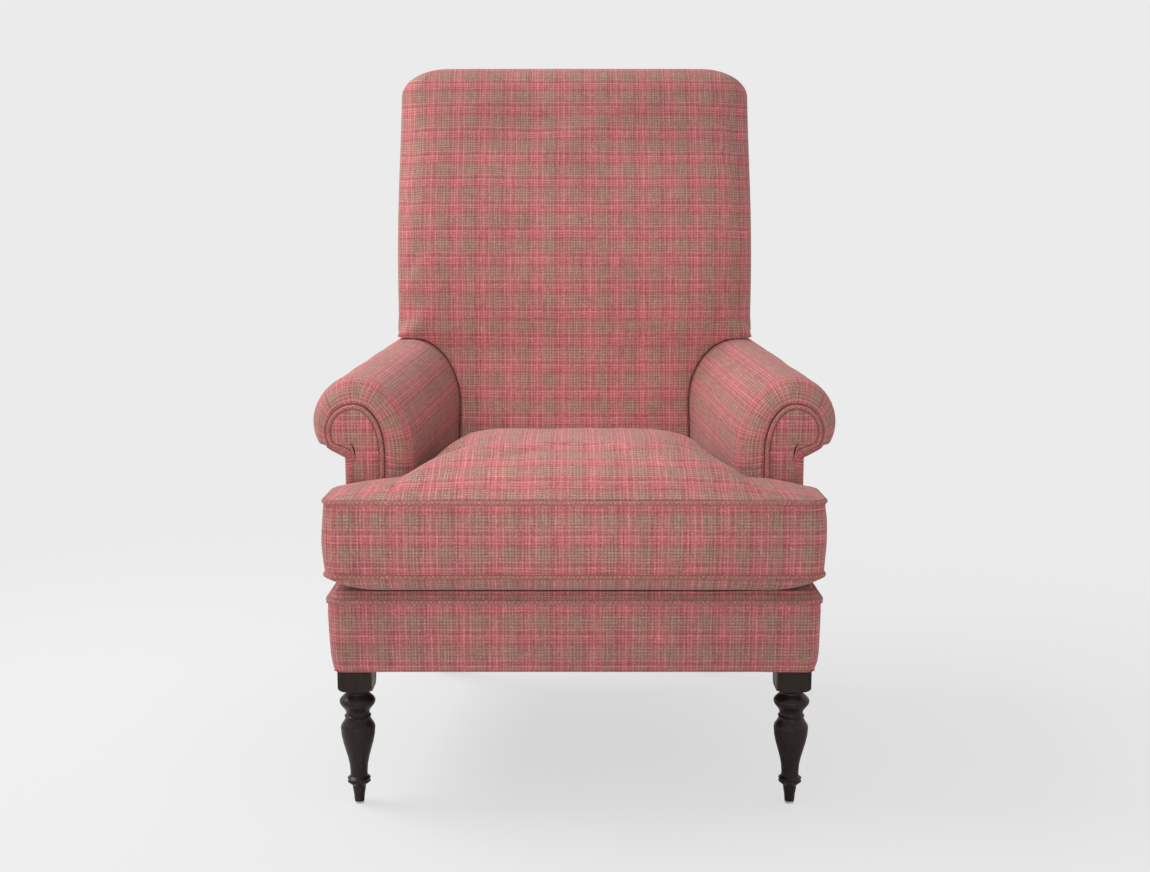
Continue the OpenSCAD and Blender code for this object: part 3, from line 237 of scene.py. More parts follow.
def loft(name, bands, wrap=True, caps=(True, True), keep=None, lay=None):
    """Skin over rings. A band is (points R x C x 3, cloth coordinates R x (C+1) x 2); bands meet
    at a shared ring, where the cloth is seamed. keep(ring, column, centre) leaves faces out.
    lay names the two axes along which the last cap's cloth lies flat."""
    points, faces, uvs, kept = [], [], [], []
    base = 0
    for n, (ring, uv) in enumerate(bands):
        rows, cols = ring.shape[:2]
        start = base - cols if n else base
        points += list(ring.reshape(-1, 3)[cols if n else 0:])
        for r in range(rows - 1):
            for c in range(cols if wrap else cols - 1):
                e = (c + 1) % cols
                faces.append((start + r * cols + c, start + r * cols + e,
                              start + (r + 1) * cols + e, start + (r + 1) * cols + c))
                uvs += [uv[r, c], uv[r, c + 1], uv[r + 1, c + 1], uv[r + 1, c]]
                if keep:
                    kept.append(keep(n, r, c, (ring[r, c] + ring[r + 1, e]) / 2))
        base = start + rows * cols
    cols = bands[0][0].shape[1]
    for end, on in enumerate(caps):
        if not on or not wrap:
            continue
        ring, uv = bands[-end][0][-end], bands[-end][1][-end]
        first = base - cols if end else 0
        points.append(ring.mean(0))
        if end and lay:
            flat = closed(ring[:, lay])
            uv = flat + uv[cols // 2] - flat[cols // 2]
        middle = uv[:-1].mean(0)
        for c in range(cols):
            faces.append((first + c, first + (c + 1) % cols, len(points) - 1))
            uvs += [uv[c], uv[c + 1], middle]
            if keep:
                kept.append(keep(-1 - end, 0, c, points[-1]))
    return mesh_object(name, points, faces, uvs, kept if keep else None)


def closed(values):
    """A ring with its first point again at its end."""
    return np.concatenate([values, values[:1]], 0)


def run_length(path, around=False):
    """Distance along a path, in its own unit."""
    path = closed(path) if around else path
    return np.concatenate([[0], np.cumsum(np.linalg.norm(np.diff(path, axis=0), axis=1))])


def resample(path, step, around=False):
    path = closed(path) if around else np.asarray(path, float)
    along = run_length(path)
    at = np.linspace(0, along[-1], max(2, round(along[-1] / step)) + 1)
    at = at[:-1] if around else at
    return np.stack([np.interp(at, along, path[:, k]) for k in range(path.shape[1])], -1)


def rounded(corners, steps=8):
    """Outline through corners (x, y, radius), each rounded by an arc."""
    out = []
    for i, (x, y, r) in enumerate(corners):
        v = np.array([x, y], float)
        a, b = (np.array(corners[j % len(corners)][:2], float) for j in (i - 1, i + 1))
        u, w = (a - v) / np.linalg.norm(a - v), (b - v) / np.linalg.norm(b - v)
        half = math.acos(np.clip(u @ w, -1, 1)) / 2
        centre = v + (u + w) / np.linalg.norm(u + w) * r / math.sin(half)
        p = v + u * r / math.tan(half) - centre
        turn = (math.pi - 2 * half) * (1 if u[0] * w[1] - u[1] * w[0] < 0 else -1)
        start = math.atan2(p[1], p[0])
        for angle in (start + turn * k / steps for k in range(steps + 1)):
            out.append(centre + r * np.array([math.cos(angle), math.sin(angle)]))
    return np.array(out)


def outward(path):
    """Unit normals of a closed outline that runs anticlockwise."""
    along = np.roll(path, -1, 0) - np.roll(path, 1, 0)
    along /= np.linalg.norm(along, axis=1)[:, None]
    return np.stack([along[:, 1], -along[:, 0]], -1)


def piping(name, path, around=False):
    """Cord covered in cloth cut on the bias, along a path in metres."""
    path = resample(np.asarray(path), CORD_STEP, around)
    n = len(path)
    along = run_length(path, around)
    if around:
        run = np.roll(path, -1, 0) - np.roll(path, 1, 0)
    else:
        run = np.gradient(path, axis=0)
    run /= np.linalg.norm(run, axis=1)[:, None]
    up = np.array([0, -1, 0]) if np.ptp(path[:, 1]) < 1e-6 else np.array([0, 0, 1])
    side = np.cross(run, up)
    side /= np.linalg.norm(side, axis=1)[:, None]
    top = np.cross(side, run)
    a = np.linspace(0, 2 * math.pi, CORD_SIDES, endpoint=False)[None, :, None]
    rings = path[:, None] + PIPING_R * MM * (np.cos(a) * side[:, None] - np.sin(a) * top[:, None])
    girth = np.linspace(0, 2 * math.pi * PIPING_R * MM, CORD_SIDES + 1)
    uv = np.stack([along[:n, None] + girth, along[:n, None] - girth], -1) * BIAS
    if around:
        rings = np.concatenate([rings, rings[:1]])
        uv = np.concatenate([uv, uv[:1] + along[-1] * BIAS])
    return loft(name, [(rings, uv)], caps=(not around, not around))


def plump(obj, pressure, cap, pinned):
    """Swells a stuffed cover with Blender's cloth; pinned(co) gives how firmly each point is held."""
    rest = points_of(obj.data)
    group = obj.vertex_groups.new(name="held")
    for i, w in enumerate(pinned(rest)):
        group.add([i], float(w), "REPLACE")
    sim = obj.modifiers.new("swell", "CLOTH")
    s = sim.settings
    s.vertex_group_mass = "held"
    s.use_pressure, s.uniform_pressure_force = True, pressure
    s.tension_stiffness = s.compression_stiffness = SWELL_STIFFNESS
    s.bending_stiffness = 0.4
    s.mass = 0.3
    s.effector_weights.gravity = 0
    sim.collision_settings.use_collision = False
    sim.point_cache.frame_start, sim.point_cache.frame_end = 1, SWELL_FRAMES
    scene = bpy.context.scene
    for f in range(1, SWELL_FRAMES + 1):
        scene.frame_set(f)
    deps = bpy.context.evaluated_depsgraph_get()
    swelled = obj.evaluated_get(deps).to_mesh()
    moved = points_of(swelled) - rest
    obj.evaluated_get(deps).to_mesh_clear()
    length = np.linalg.norm(moved, axis=1)[:, None]
    moved *= np.minimum(1, cap * MM / np.maximum(length, 1e-9))
    obj.modifiers.remove(sim)
    obj.vertex_groups.clear()
    move(obj, rest + moved)
    scene.frame_set(1)
    return obj


def softened(node, name, bevel=1.5, segments=2, cell=None):
    """A soft solid of the frame again as its own piece, with rounded edges and cloth coordinates."""
    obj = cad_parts[node].copy()
    obj.data = obj.data.copy()
    obj.name = obj.data.name = name
    for key in list(obj.keys()):
        del obj[key]
    obj.parent = None
    link(obj)
    obj.hide_render = obj.hide_viewport = False
    bm = bmesh.new()
    bm.from_mesh(obj.data)
    bmesh.ops.remove_doubles(bm, verts=bm.verts, dist=1e-5)
    bmesh.ops.dissolve_limit(bm, angle_limit=math.radians(1), verts=bm.verts, edges=bm.edges)
    if cell:
        bmesh.ops.triangulate(bm, faces=bm.faces)
        for _ in range(6):
            long = [e for e in bm.edges if e.calc_length() > cell * MM]
            if not long or len(bm.faces) > 20000:
                break
            bmesh.ops.subdivide_edges(bm, edges=long, cuts=1)
            bmesh.ops.triangulate(bm, faces=[f for f in bm.faces if len(f.verts) > 4])
    bmesh.ops.recalc_face_normals(bm, faces=bm.faces)
    bm.to_mesh(obj.data)
    bm.free()
    if bevel:
        edge = obj.modifiers.new("soft edge", "BEVEL")
        edge.width, edge.segments, edge.limit_method = bevel * MM, segments, "ANGLE"
        edge.angle_limit = math.radians(35)
        bake(obj)
    return lay_cloth(obj)


def lay_cloth(obj):
    """Cloth coordinates by the face's own direction: across it and up it."""
    mesh = obj.data
    layer = mesh.uv_layers.get("cloth") or mesh.uv_layers.new(name="cloth")
    for poly in mesh.polygons:
        axis = max(range(3), key=lambda k: abs(poly.normal[k]))
        a, b = ((1, 2), (0, 2), (0, 1))[axis]
        for li in poly.loop_indices:
            co = mesh.vertices[mesh.loops[li].vertex_index].co
            layer.data[li].uv = (co[a], co[b])
    smooth(mesh)
    return obj


def finish_piece(obj, body, material, replaced=(), sheet=None):
    """Gives a piece its material and its body, and hides the frame's parts that it replaces."""
    obj.data.materials.clear()
    obj.data.materials.append(material)
    if replaced:
        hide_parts(*replaced)
    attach(obj, body)
    return obj


# Materials

class Sock:
    """A socket of a shader, on which sums are written as Python."""

    def __init__(self, finish, socket):
        self.finish, self.socket = finish, socket

    def sum(self, operation, *values):
        return self.finish.node("ShaderNodeMath", {"operation": operation}, dict(enumerate(values)))

    def __add__(self, other):
        return self.sum("ADD", self, other)

    __radd__ = __add__

    def __sub__(self, other):
        return self.sum("SUBTRACT", self, other)

    def __rsub__(self, other):
        return self.sum("SUBTRACT", other, self)

    def __mul__(self, other):
        return self.sum("MULTIPLY", self, other)

    __rmul__ = __mul__

    def __truediv__(self, other):
        return self.sum("DIVIDE", self, other)

    def __pow__(self, other):
        return self.sum("POWER", self, other)

    def fract(self):
        return self.sum("FRACT", self)

    def wave(self):
        """Cosine of the value in turns, from 0 to 1."""
        return self.sum("COSINE", self * (2 * math.pi)) * 0.5 + 0.5

    def most(self, other):
        return self.sum("MAXIMUM", self, other)

    def over(self, other):
        return self.sum("GREATER_THAN", self, other)

    def distance(self):
        return self.sum("ABSOLUTE", self)


def linear(colour):
    """sRGB 0 to 255 as the linear colour that nodes take."""
    part = [c / 255 for c in colour]
    return tuple(c / 12.92 if c <= 0.04045 else ((c + 0.055) / 1.055) ** 2.4 for c in part) + (1.0,)


class Finish:
    """A procedural material built from nodes."""

    def __init__(self, name, **shader):
        self.material = bpy.data.materials.new(name)
        self.material.use_nodes = True
        self.tree = self.material.node_tree
        self.tree.nodes.clear()
        self.output = self.tree.nodes.new("ShaderNodeOutputMaterial")
        self.shader = self.tree.nodes.new("ShaderNodeBsdfPrincipled")
        self.tree.links.new(self.shader.outputs[0], self.output.inputs[0])
        for key, value in shader.items():
            self.shader.inputs[key.replace("_", " ")].default_value = value

    def node(self, kind, settings=None, values=None, out=0):
        made = self.tree.nodes.new(kind)
        for key, value in (settings or {}).items():
            if key == "stops":
                ramp = made.color_ramp
                while len(ramp.elements) < len(value):
                    ramp.elements.new(0.5)
                for element, (at, colour) in zip(ramp.elements, value):
                    element.position, element.color = at, colour
            else:
                setattr(made, key, value)
        for key, value in (values or {}).items():
            if isinstance(value, Sock):
                self.tree.links.new(value.socket, made.inputs[key])
            else:
                made.inputs[key].default_value = value
        return Sock(self, made.outputs[out])

    def cloth(self):
        """Coordinates on the cloth: across and along, in metres."""
        uv = self.node("ShaderNodeUVMap", {"uv_map": "cloth"})
        return uv, self.part(uv, 0), self.part(uv, 1)

    def place(self, scale=(1, 1, 1), turn=(0, 0, 0), shift=(0, 0, 0)):
        """Object coordinates, scaled and turned."""
        at = self.node("ShaderNodeTexCoord", out="Object")
        return self.node("ShaderNodeMapping", {},
                         {"Vector": at, "Scale": scale, "Rotation": turn, "Location": shift})

    def part(self, vector, axis):
        return self.node("ShaderNodeSeparateXYZ", {}, {0: vector}, out=axis)

    def vector(self, x, y, z=0.0):
        return self.node("ShaderNodeCombineXYZ", {}, {0: x, 1: y, 2: z})

    def noise(self, at, scale, detail=2.0, rough=0.5):
        return self.node("ShaderNodeTexNoise", {},
                         {"Vector": at, "Scale": scale, "Detail": detail, "Roughness": rough})

    def mix(self, share, a, b, blend="MIX"):
        return self.node("ShaderNodeMix", {"data_type": "RGBA", "blend_type": blend},
                         {0: share, 6: a, 7: b}, out=2)

    def grey(self, value):
        return self.node("ShaderNodeCombineColor", {}, {0: value, 1: value, 2: value})

    def ramp(self, value, stops):
        return self.node("ShaderNodeValToRGB", {"stops": stops}, {0: value})

    def range(self, value, low, high, to_low=0.0, to_high=1.0):
        return self.node("ShaderNodeMapRange", {"clamp": True},
                         {0: value, 1: low, 2: high, 3: to_low, 4: to_high})

    def bump(self, height, strength, distance):
        return self.node("ShaderNodeBump", {}, {"Height": height, "Strength": strength, "Distance": distance})

    def reach(self, x, y):
        """Distance from the middle."""
        return (x * x + y * y) ** 0.5

    def done(self, **links):
        for key, sock in links.items():
            self.tree.links.new(sock.socket, self.shader.inputs[key.replace("_", " ")])
        return self.material


def plaid(name, tone=1.0, calm=0.0):
    """Woollen plaid: pink and taupe bands both ways, thin dark lines, and a coarse weave of uneven yarn."""
    s = bpy.context.scene.chair_plaid
    f = Finish(name, Roughness=0.95, Sheen_Weight=0.15, Sheen_Roughness=0.5, Specular_IOR_Level=0.2)
    f.shader.inputs["Sheen Tint"].default_value = (1.0, 0.78, 0.74, 1.0)
    uv, u, v = f.cloth()
    # The threads wander a little, so bands have uneven edges
    wander = (f.noise(uv, 22.0, 2.0) - 0.5) * 0.0016
    u, v = u + wander, v - wander
    repeat = s.repeat
    pink, line, taupe, pale = (tuple(c) + (1,) for c in (s.pink, s.line, s.taupe, s.slub))
    blend = lambda a, b, t: tuple((1 - t) * p + t * q for p, q in zip(a, b))
    rose, mid, dusk = blend(pink, pale, 0.4), blend(pink, taupe, 0.5), blend(taupe, line, 0.5)
    warp = f.ramp((u / repeat).fract(), [
        (0.0, taupe), (0.09, taupe), (0.125, dusk), (0.155, dusk), (0.19, taupe), (0.235, taupe),
        (0.27, line), (0.325, line), (0.355, rose), (0.395, rose), (0.42, line), (0.45, line),
        (0.48, pink), (0.53, pink), (0.56, rose), (0.63, rose), (0.67, pink), (0.70, line),
        (0.73, pink), (0.77, mid), (0.81, rose), (0.87, taupe), (0.93, dusk), (1.0, taupe)])
    weft = f.ramp((v / repeat + 0.3).fract(), [
        (0.0, line), (0.04, line), (0.08, pink), (0.22, pink), (0.28, rose), (0.33, rose), (0.37, line),
        (0.41, line), (0.44, pink), (0.49, rose), (0.53, taupe), (0.61, taupe), (0.635, dusk), (0.66, taupe),
        (0.82, taupe), (0.85, dusk), (0.88, taupe), (0.94, taupe), (0.97, mid), (1.0, line)])
    # Warp and weft groups cross over and under, ten to a repeat
    check = 10.0 / repeat
    a, b = (u * check).wave(), (v * check).wave()
    cloth = f.mix(f.range(a - b, -0.6, 0.6, 0.22, 0.78), weft, warp)
    knots = 1 + 0.3 * (a * b) - 0.24 * ((1 - a) * (1 - b))
    # Single threads are lighter and darker along their run
    threads = f.range(f.noise(f.vector(u * 430.0, v * 26.0), 1.0, 1.0), 0.3, 0.7, 0.86, 1.14)
    picks = f.range(f.noise(f.vector(u * 26.0, v * 430.0), 1.0, 1.0), 0.3, 0.7, 0.9, 1.1)
    slub = f.range(f.noise(f.vector(u * 110.0, v * 420.0), 1.0, 1.0).most(
        f.noise(f.vector(u * 420.0, v * 110.0), 1.0, 1.0)), 0.58, 0.74)
    speck = f.range(f.noise(uv, 430.0, 2.0, 0.7), 0.25, 0.75, 0.7, 1.3)
    dyed = f.range(f.noise(f.vector(u * 90.0, v * 520.0, 3.0), 1.0, 1.0).most(
        f.noise(f.vector(u * 520.0, v * 90.0, 3.0), 1.0, 1.0)), 0.56, 0.72)
    cloud = f.range(f.noise(uv, 9.0, 3.0, 0.55), 0.3, 0.7, 0.93, 1.07)
    cloth = f.mix(slub * 0.4, f.mix(dyed * 0.5, cloth, line), pale)
    cloth = f.mix(calm, cloth, mid)
    # A tone under 1 darkens the whole cloth: painted shade, used on the piping
    cloth = f.mix(1.0, cloth, f.grey(knots * threads * picks * speck * cloud * tone), "MULTIPLY")
    # Plain weave with thick yarn
    yarn = 1 / 0.00125
    over, under = (u * yarn).wave(), (v * yarn).wave()
    weave = over * (1 - under) + under * (1 - over)
    height = weave * 0.4 + speck * 0.6 + slub * 0.4 + knots * 0.8
    normal = f.bump(height, 0.5, 0.0006)
    rough = f.range(weave, 0, 1, 0.88, 0.98)
    return f.done(Base_Color=cloth, Roughness=rough, Normal=normal)


def wood(name, colour, grain_colour, gloss, along="Z"):
    """Turned or sawn wood with long grain, pores and a finish."""
    f = Finish(name, Roughness=0.4 if gloss else 0.62, Coat_Weight=0.12 if gloss else 0.0,
               Coat_Roughness=0.15, Specular_IOR_Level=0.2 if gloss else 0.35)
    scale = {"X": (2.5, 32, 32), "Y": (32, 2.5, 32), "Z": (32, 32, 2.5)}[along]
    at = f.place(scale=scale)
    rings = f.noise(at, 1.3, 4.0, 0.6)
    pores = f.range(f.noise(f.place(scale=tuple(k * 9 for k in scale)), 1.0, 2.0, 0.6), 0.55, 0.72)
    bands = (rings * 7.0).wave()
    tone = f.mix(bands * 0.55, linear(colour), linear(grain_colour))
    tone = f.mix(pores * 0.5, tone, linear(grain_colour))
    worn = f.range(f.noise(f.place(), 35.0, 3.0), 0.35, 0.7, 0.34 if gloss else 0.55, 0.5 if gloss else 0.72)
    normal = f.bump(bands * 0.3 - pores, 0.12 if gloss else 0.3, 0.0004)
    return f.done(Base_Color=tone, Roughness=worn, Normal=normal)


def steel(name):
    f = Finish(name, Metallic=1.0, Roughness=0.32)
    at = f.place(scale=(1, 1, 14))
    scratch = f.noise(at, 220.0, 3.0, 0.7)
    stain = f.range(f.noise(f.place(), 60.0, 3.0), 0.4, 0.75)
    tone = f.mix(stain * 0.35, linear((168, 170, 172)), linear((122, 118, 112)))
    rough = f.range(scratch, 0.3, 0.7, 0.24, 0.42)
    return f.done(Base_Color=tone, Roughness=rough, Normal=f.bump(scratch, 0.1, 0.0002))


def nylon(name):
    f = Finish(name, Roughness=0.45, Subsurface_Weight=0.05)
    scuff = f.noise(f.place(), 180.0, 4.0, 0.7)
    tone = f.mix(f.range(scuff, 0.4, 0.7), linear((214, 214, 208)), linear((176, 174, 168)))
    return f.done(Base_Color=tone, Roughness=f.range(scuff, 0.3, 0.7, 0.36, 0.6),
                  Normal=f.bump(scuff, 0.2, 0.0003))


def foam_finish(name):
    f = Finish(name, Roughness=0.95)
    cells = f.node("ShaderNodeTexVoronoi", {}, {"Vector": f.place(), "Scale": 650.0})
    age = f.noise(f.place(), 14.0, 3.0)
    tone = f.mix(f.range(age, 0.35, 0.7), linear((236, 224, 178)), linear((224, 204, 146)))
    tone = f.mix(f.range(cells, 0.0, 0.5, 0.35, 0.0), tone, linear((178, 156, 104)))
    return f.done(Base_Color=tone, Normal=f.bump(cells, 0.5, 0.0008))


def woven(name, colour, second, pitch, stripe=None):
    """Plain or hessian weave from two yarn tones, on the cloth's own coordinates."""
    f = Finish(name, Roughness=0.9)
    _, u, v = f.cloth()
    over, under = (u / pitch).wave(), (v / pitch).wave()
    weave = over * (1 - under) + under * (1 - over)
    uneven = f.noise(f.vector(u * 300.0, v * 60.0), 1.0, 2.0)
    tone = f.mix(f.range(uneven, 0.3, 0.7), linear(colour), linear(second))
    tone = f.mix(1.0, tone, f.grey(weave * 0.35 + 0.72), "MULTIPLY")
    if stripe:
        edge = f.range((u / stripe).wave(), 0.86, 0.92)
        tone = f.mix(edge * 0.8, tone, linear((92, 46, 38)))
    return f.done(Base_Color=tone, Roughness=f.range(weave, 0, 1, 0.82, 0.9),
                  Normal=f.bump(weave + uneven * 0.4, 0.6, 0.0007))


def felt(name, colour, second):
    """Pressed or bonded fibre with no weave."""
    f = Finish(name, Roughness=0.97)
    fibre = f.noise(f.place(scale=(1, 1, 3)), 380.0, 4.0, 0.75)
    patch = f.noise(f.place(), 18.0, 2.0)
    tone = f.mix(f.range(fibre * 0.6 + patch * 0.4, 0.35, 0.65), linear(colour), linear(second))
    return f.done(Base_Color=tone, Normal=f.bump(fibre, 0.5, 0.0006))


FINISHES = {}


def finish(name):
    """The chair's materials, each built once."""
    if name not in FINISHES:
        makers = {
            "plaid": lambda: plaid("plaid wool"),
            # The piping's copy of the plaid is calmer and 7% darker; the darkening is painted shade along the
            # seams
            "plaid_edge": lambda: plaid("plaid wool, bias cut, painted seam shade", tone=0.93, calm=0.6),
            "leg": lambda: wood("polished leg wood", (38, 26, 20), (18, 11, 8), True),
            "beech_x": lambda: wood("frame wood across", (203, 170, 126), (160, 120, 78), False, "X"),
            "beech_y": lambda: wood("frame wood lengthways", (203, 170, 126), (160, 120, 78), False, "Y"),
            "beech_z": lambda: wood("frame wood upright", (203, 170, 126), (160, 120, 78), False, "Z"),
            "steel": lambda: steel("bright steel"),
            "nylon": lambda: nylon("white nylon"),
            "foam": lambda: foam_finish("cream foam"),
            "webbing": lambda: woven("jute webbing", (196, 170, 120), (166, 136, 88), 0.0024, 0.0235),
            "hessian": lambda: woven("hessian", (190, 166, 118), (160, 134, 88), 0.0019),
            "deck": lambda: woven("deck cloth", (128, 112, 100), (112, 96, 86), 0.0011),
            "dust": lambda: felt("black dust cloth", (30, 30, 32), (46, 46, 48)),
            "zip": lambda: woven("zip tape", (104, 72, 68), (88, 60, 57), 0.0007),
            "coil": lambda: felt("zip coil", (84, 62, 60), (96, 74, 70)),
            "thread": lambda: woven("thread", (150, 92, 88), (128, 76, 74), 0.0004),
        }
        FINISHES[name] = makers[name]()
    return FINISHES[name]


# Repeated small parts

def scatter_tree(name, instance, material):
    """Copies of one small mesh at even steps along a path, turned along it."""
    tree = bpy.data.node_groups.new(name, "GeometryNodeTree")
    sockets = {}
    for key, kind in (("Path", "Geometry"), ("Pitch", "Float"), ("Size", "Vector")):
        made = tree.interface.new_socket(key, in_out="INPUT", socket_type="NodeSocket" + kind)
        sockets[key.lower()] = made.identifier
    tree.interface.new_socket("Pieces", in_out="OUTPUT", socket_type="NodeSocketGeometry")
    start, end, curve, even, points, place_on, real, paint = (tree.nodes.new(kind) for kind in (
        "NodeGroupInput", "NodeGroupOutput", "GeometryNodeMeshToCurve", "GeometryNodeResampleCurve",
        "GeometryNodeCurveToPoints", "GeometryNodeInstanceOnPoints", "GeometryNodeRealizeInstances",
        "GeometryNodeSetMaterial"))
    even.mode, points.mode = "LENGTH", "EVALUATED"
    if instance == "stitch":
        small = tree.nodes.new("GeometryNodeMeshUVSphere")
        small.inputs["Segments"].default_value, small.inputs["Rings"].default_value = 6, 4
        small.inputs["Radius"].default_value = 0.5
    else:
        small = tree.nodes.new("GeometryNodeMeshCube")
    paint.inputs["Material"].default_value = material
    for output, wanted in ((start.outputs["Path"], curve.inputs[0]), (curve.outputs[0], even.inputs["Curve"]),
                           (start.outputs["Pitch"], even.inputs["Length"]),
                           (even.outputs[0], points.inputs[0]),
                           (points.outputs["Points"], place_on.inputs["Points"]),
                           (points.outputs["Rotation"], place_on.inputs["Rotation"]),
                           (small.outputs[0], place_on.inputs["Instance"]),
                           (start.outputs["Size"], place_on.inputs["Scale"]),
                           (place_on.outputs[0], real.inputs[0]), (real.outputs[0], paint.inputs["Geometry"]),
                           (paint.outputs[0], end.inputs[0])):
        tree.links.new(output, wanted)
    return tree, sockets


def scatter(name, paths, instance, material, pitch, size):
    """One mesh of small parts set along paths in metres."""
    points, edges = [], []
    for path in paths:
        edges += [(len(points) + k, len(points) + k + 1) for k in range(len(path) - 1)]
        points += [tuple(p) for p in path]
    mesh = bpy.data.meshes.new(name)
    mesh.from_pydata(points, edges, [])
    obj = link(bpy.data.objects.new(name, mesh))
    tree, ids = scatter_tree(name + " layout", instance, material)
    layout = obj.modifiers.new("layout", "NODES")
    layout.node_group = tree
    layout[ids["pitch"]] = pitch * MM
    layout[ids["size"]] = [k * MM for k in size]
    bake(obj)
    if not obj.data.polygons:
        raise RuntimeError(f"{name} came out empty")
    bpy.data.node_groups.remove(tree)
    return lay_cloth(obj)


# Seat cushion

def cushion_outline():
    rear, neck_d = CUSHION_REAR, EAR_D - PIPING_R
    body = [body_x(d) for d in (neck_d, rear)]
    ear = CUSHION_W / 2
    half = [(ear, PIPING_R, 22), (ear, neck_d, 16), (body[0], neck_d, 8), (body[1], rear, 24)]
    corners = half + [(-x, y, r) for x, y, r in reversed(half)]
    path = resample(rounded(corners, 12), 7.0, around=True)
    # The run starts in the middle of the rear side, so that the cloth's join is there
    start = np.argmin(np.where(path[:, 1] > rear - 1, np.abs(path[:, 0]), 1e9))
    return np.roll(path, -start, 0), rear, neck_d


def cushion_crown(x, d, rear, neck_d):
    """Rise of the cushion's top: 0 at the edge and 1 where it is full."""
    def edge(t, steep=4.3):
        return 1 - (1 - np.clip(t, 0, 1)) ** steep
    ear = (edge(2 * d / 220) * edge((CUSHION_W / 2 - abs(x)) / 130, 2)
           * np.where(d > neck_d, 1, edge(2.5 * (1.04 - d / neck_d))))
    reach = np.where(d > neck_d, body_x(d), body_x(neck_d) + (CUSHION_W / 2 - body_x(neck_d)) * 0.25
                     * np.clip(1 - d / neck_d, 0, 1))
    inside = reach - abs(x)
    main = edge((d - PIPING_R) / 220) * edge((rear - d) / 330, 2.1) * edge(inside / 130, 3)
    share = np.clip(inside / 130, 0, 1)
    low = np.where(inside > 0, (ear + (1 - ear) * share) * np.minimum(1, ear + main), ear)
    return 0.24 * low + 0.76 * main


def cloth_map(height, xs, ds):
    """Cloth coordinates on a domed top, from arc length across and along it."""
    z = height(*np.meshgrid(xs, ds, indexing="ij"))
    dx, dd = xs[1] - xs[0], ds[1] - ds[0]
    u = np.cumsum(np.sqrt(dx ** 2 + np.gradient(z, axis=0) ** 2), 0)
    u -= u[len(xs) // 2]
    v = np.cumsum(np.sqrt(dd ** 2 + np.gradient(z, axis=1) ** 2), 1)

    def look(table, x, d):
        i = np.clip((x - xs[0]) / dx, 0, len(xs) - 1.001)
        j = np.clip((d - ds[0]) / dd, 0, len(ds) - 1.001)
        a, b = i.astype(int), j.astype(int)
        s, t = i - a, j - b
        return ((1 - s) * (1 - t) * table[a, b] + s * (1 - t) * table[a + 1, b]
                + (1 - s) * t * table[a, b + 1] + s * t * table[a + 1, b + 1])
    return lambda x, d: np.stack([look(u, x, d), look(v, x, d)], -1) * MM


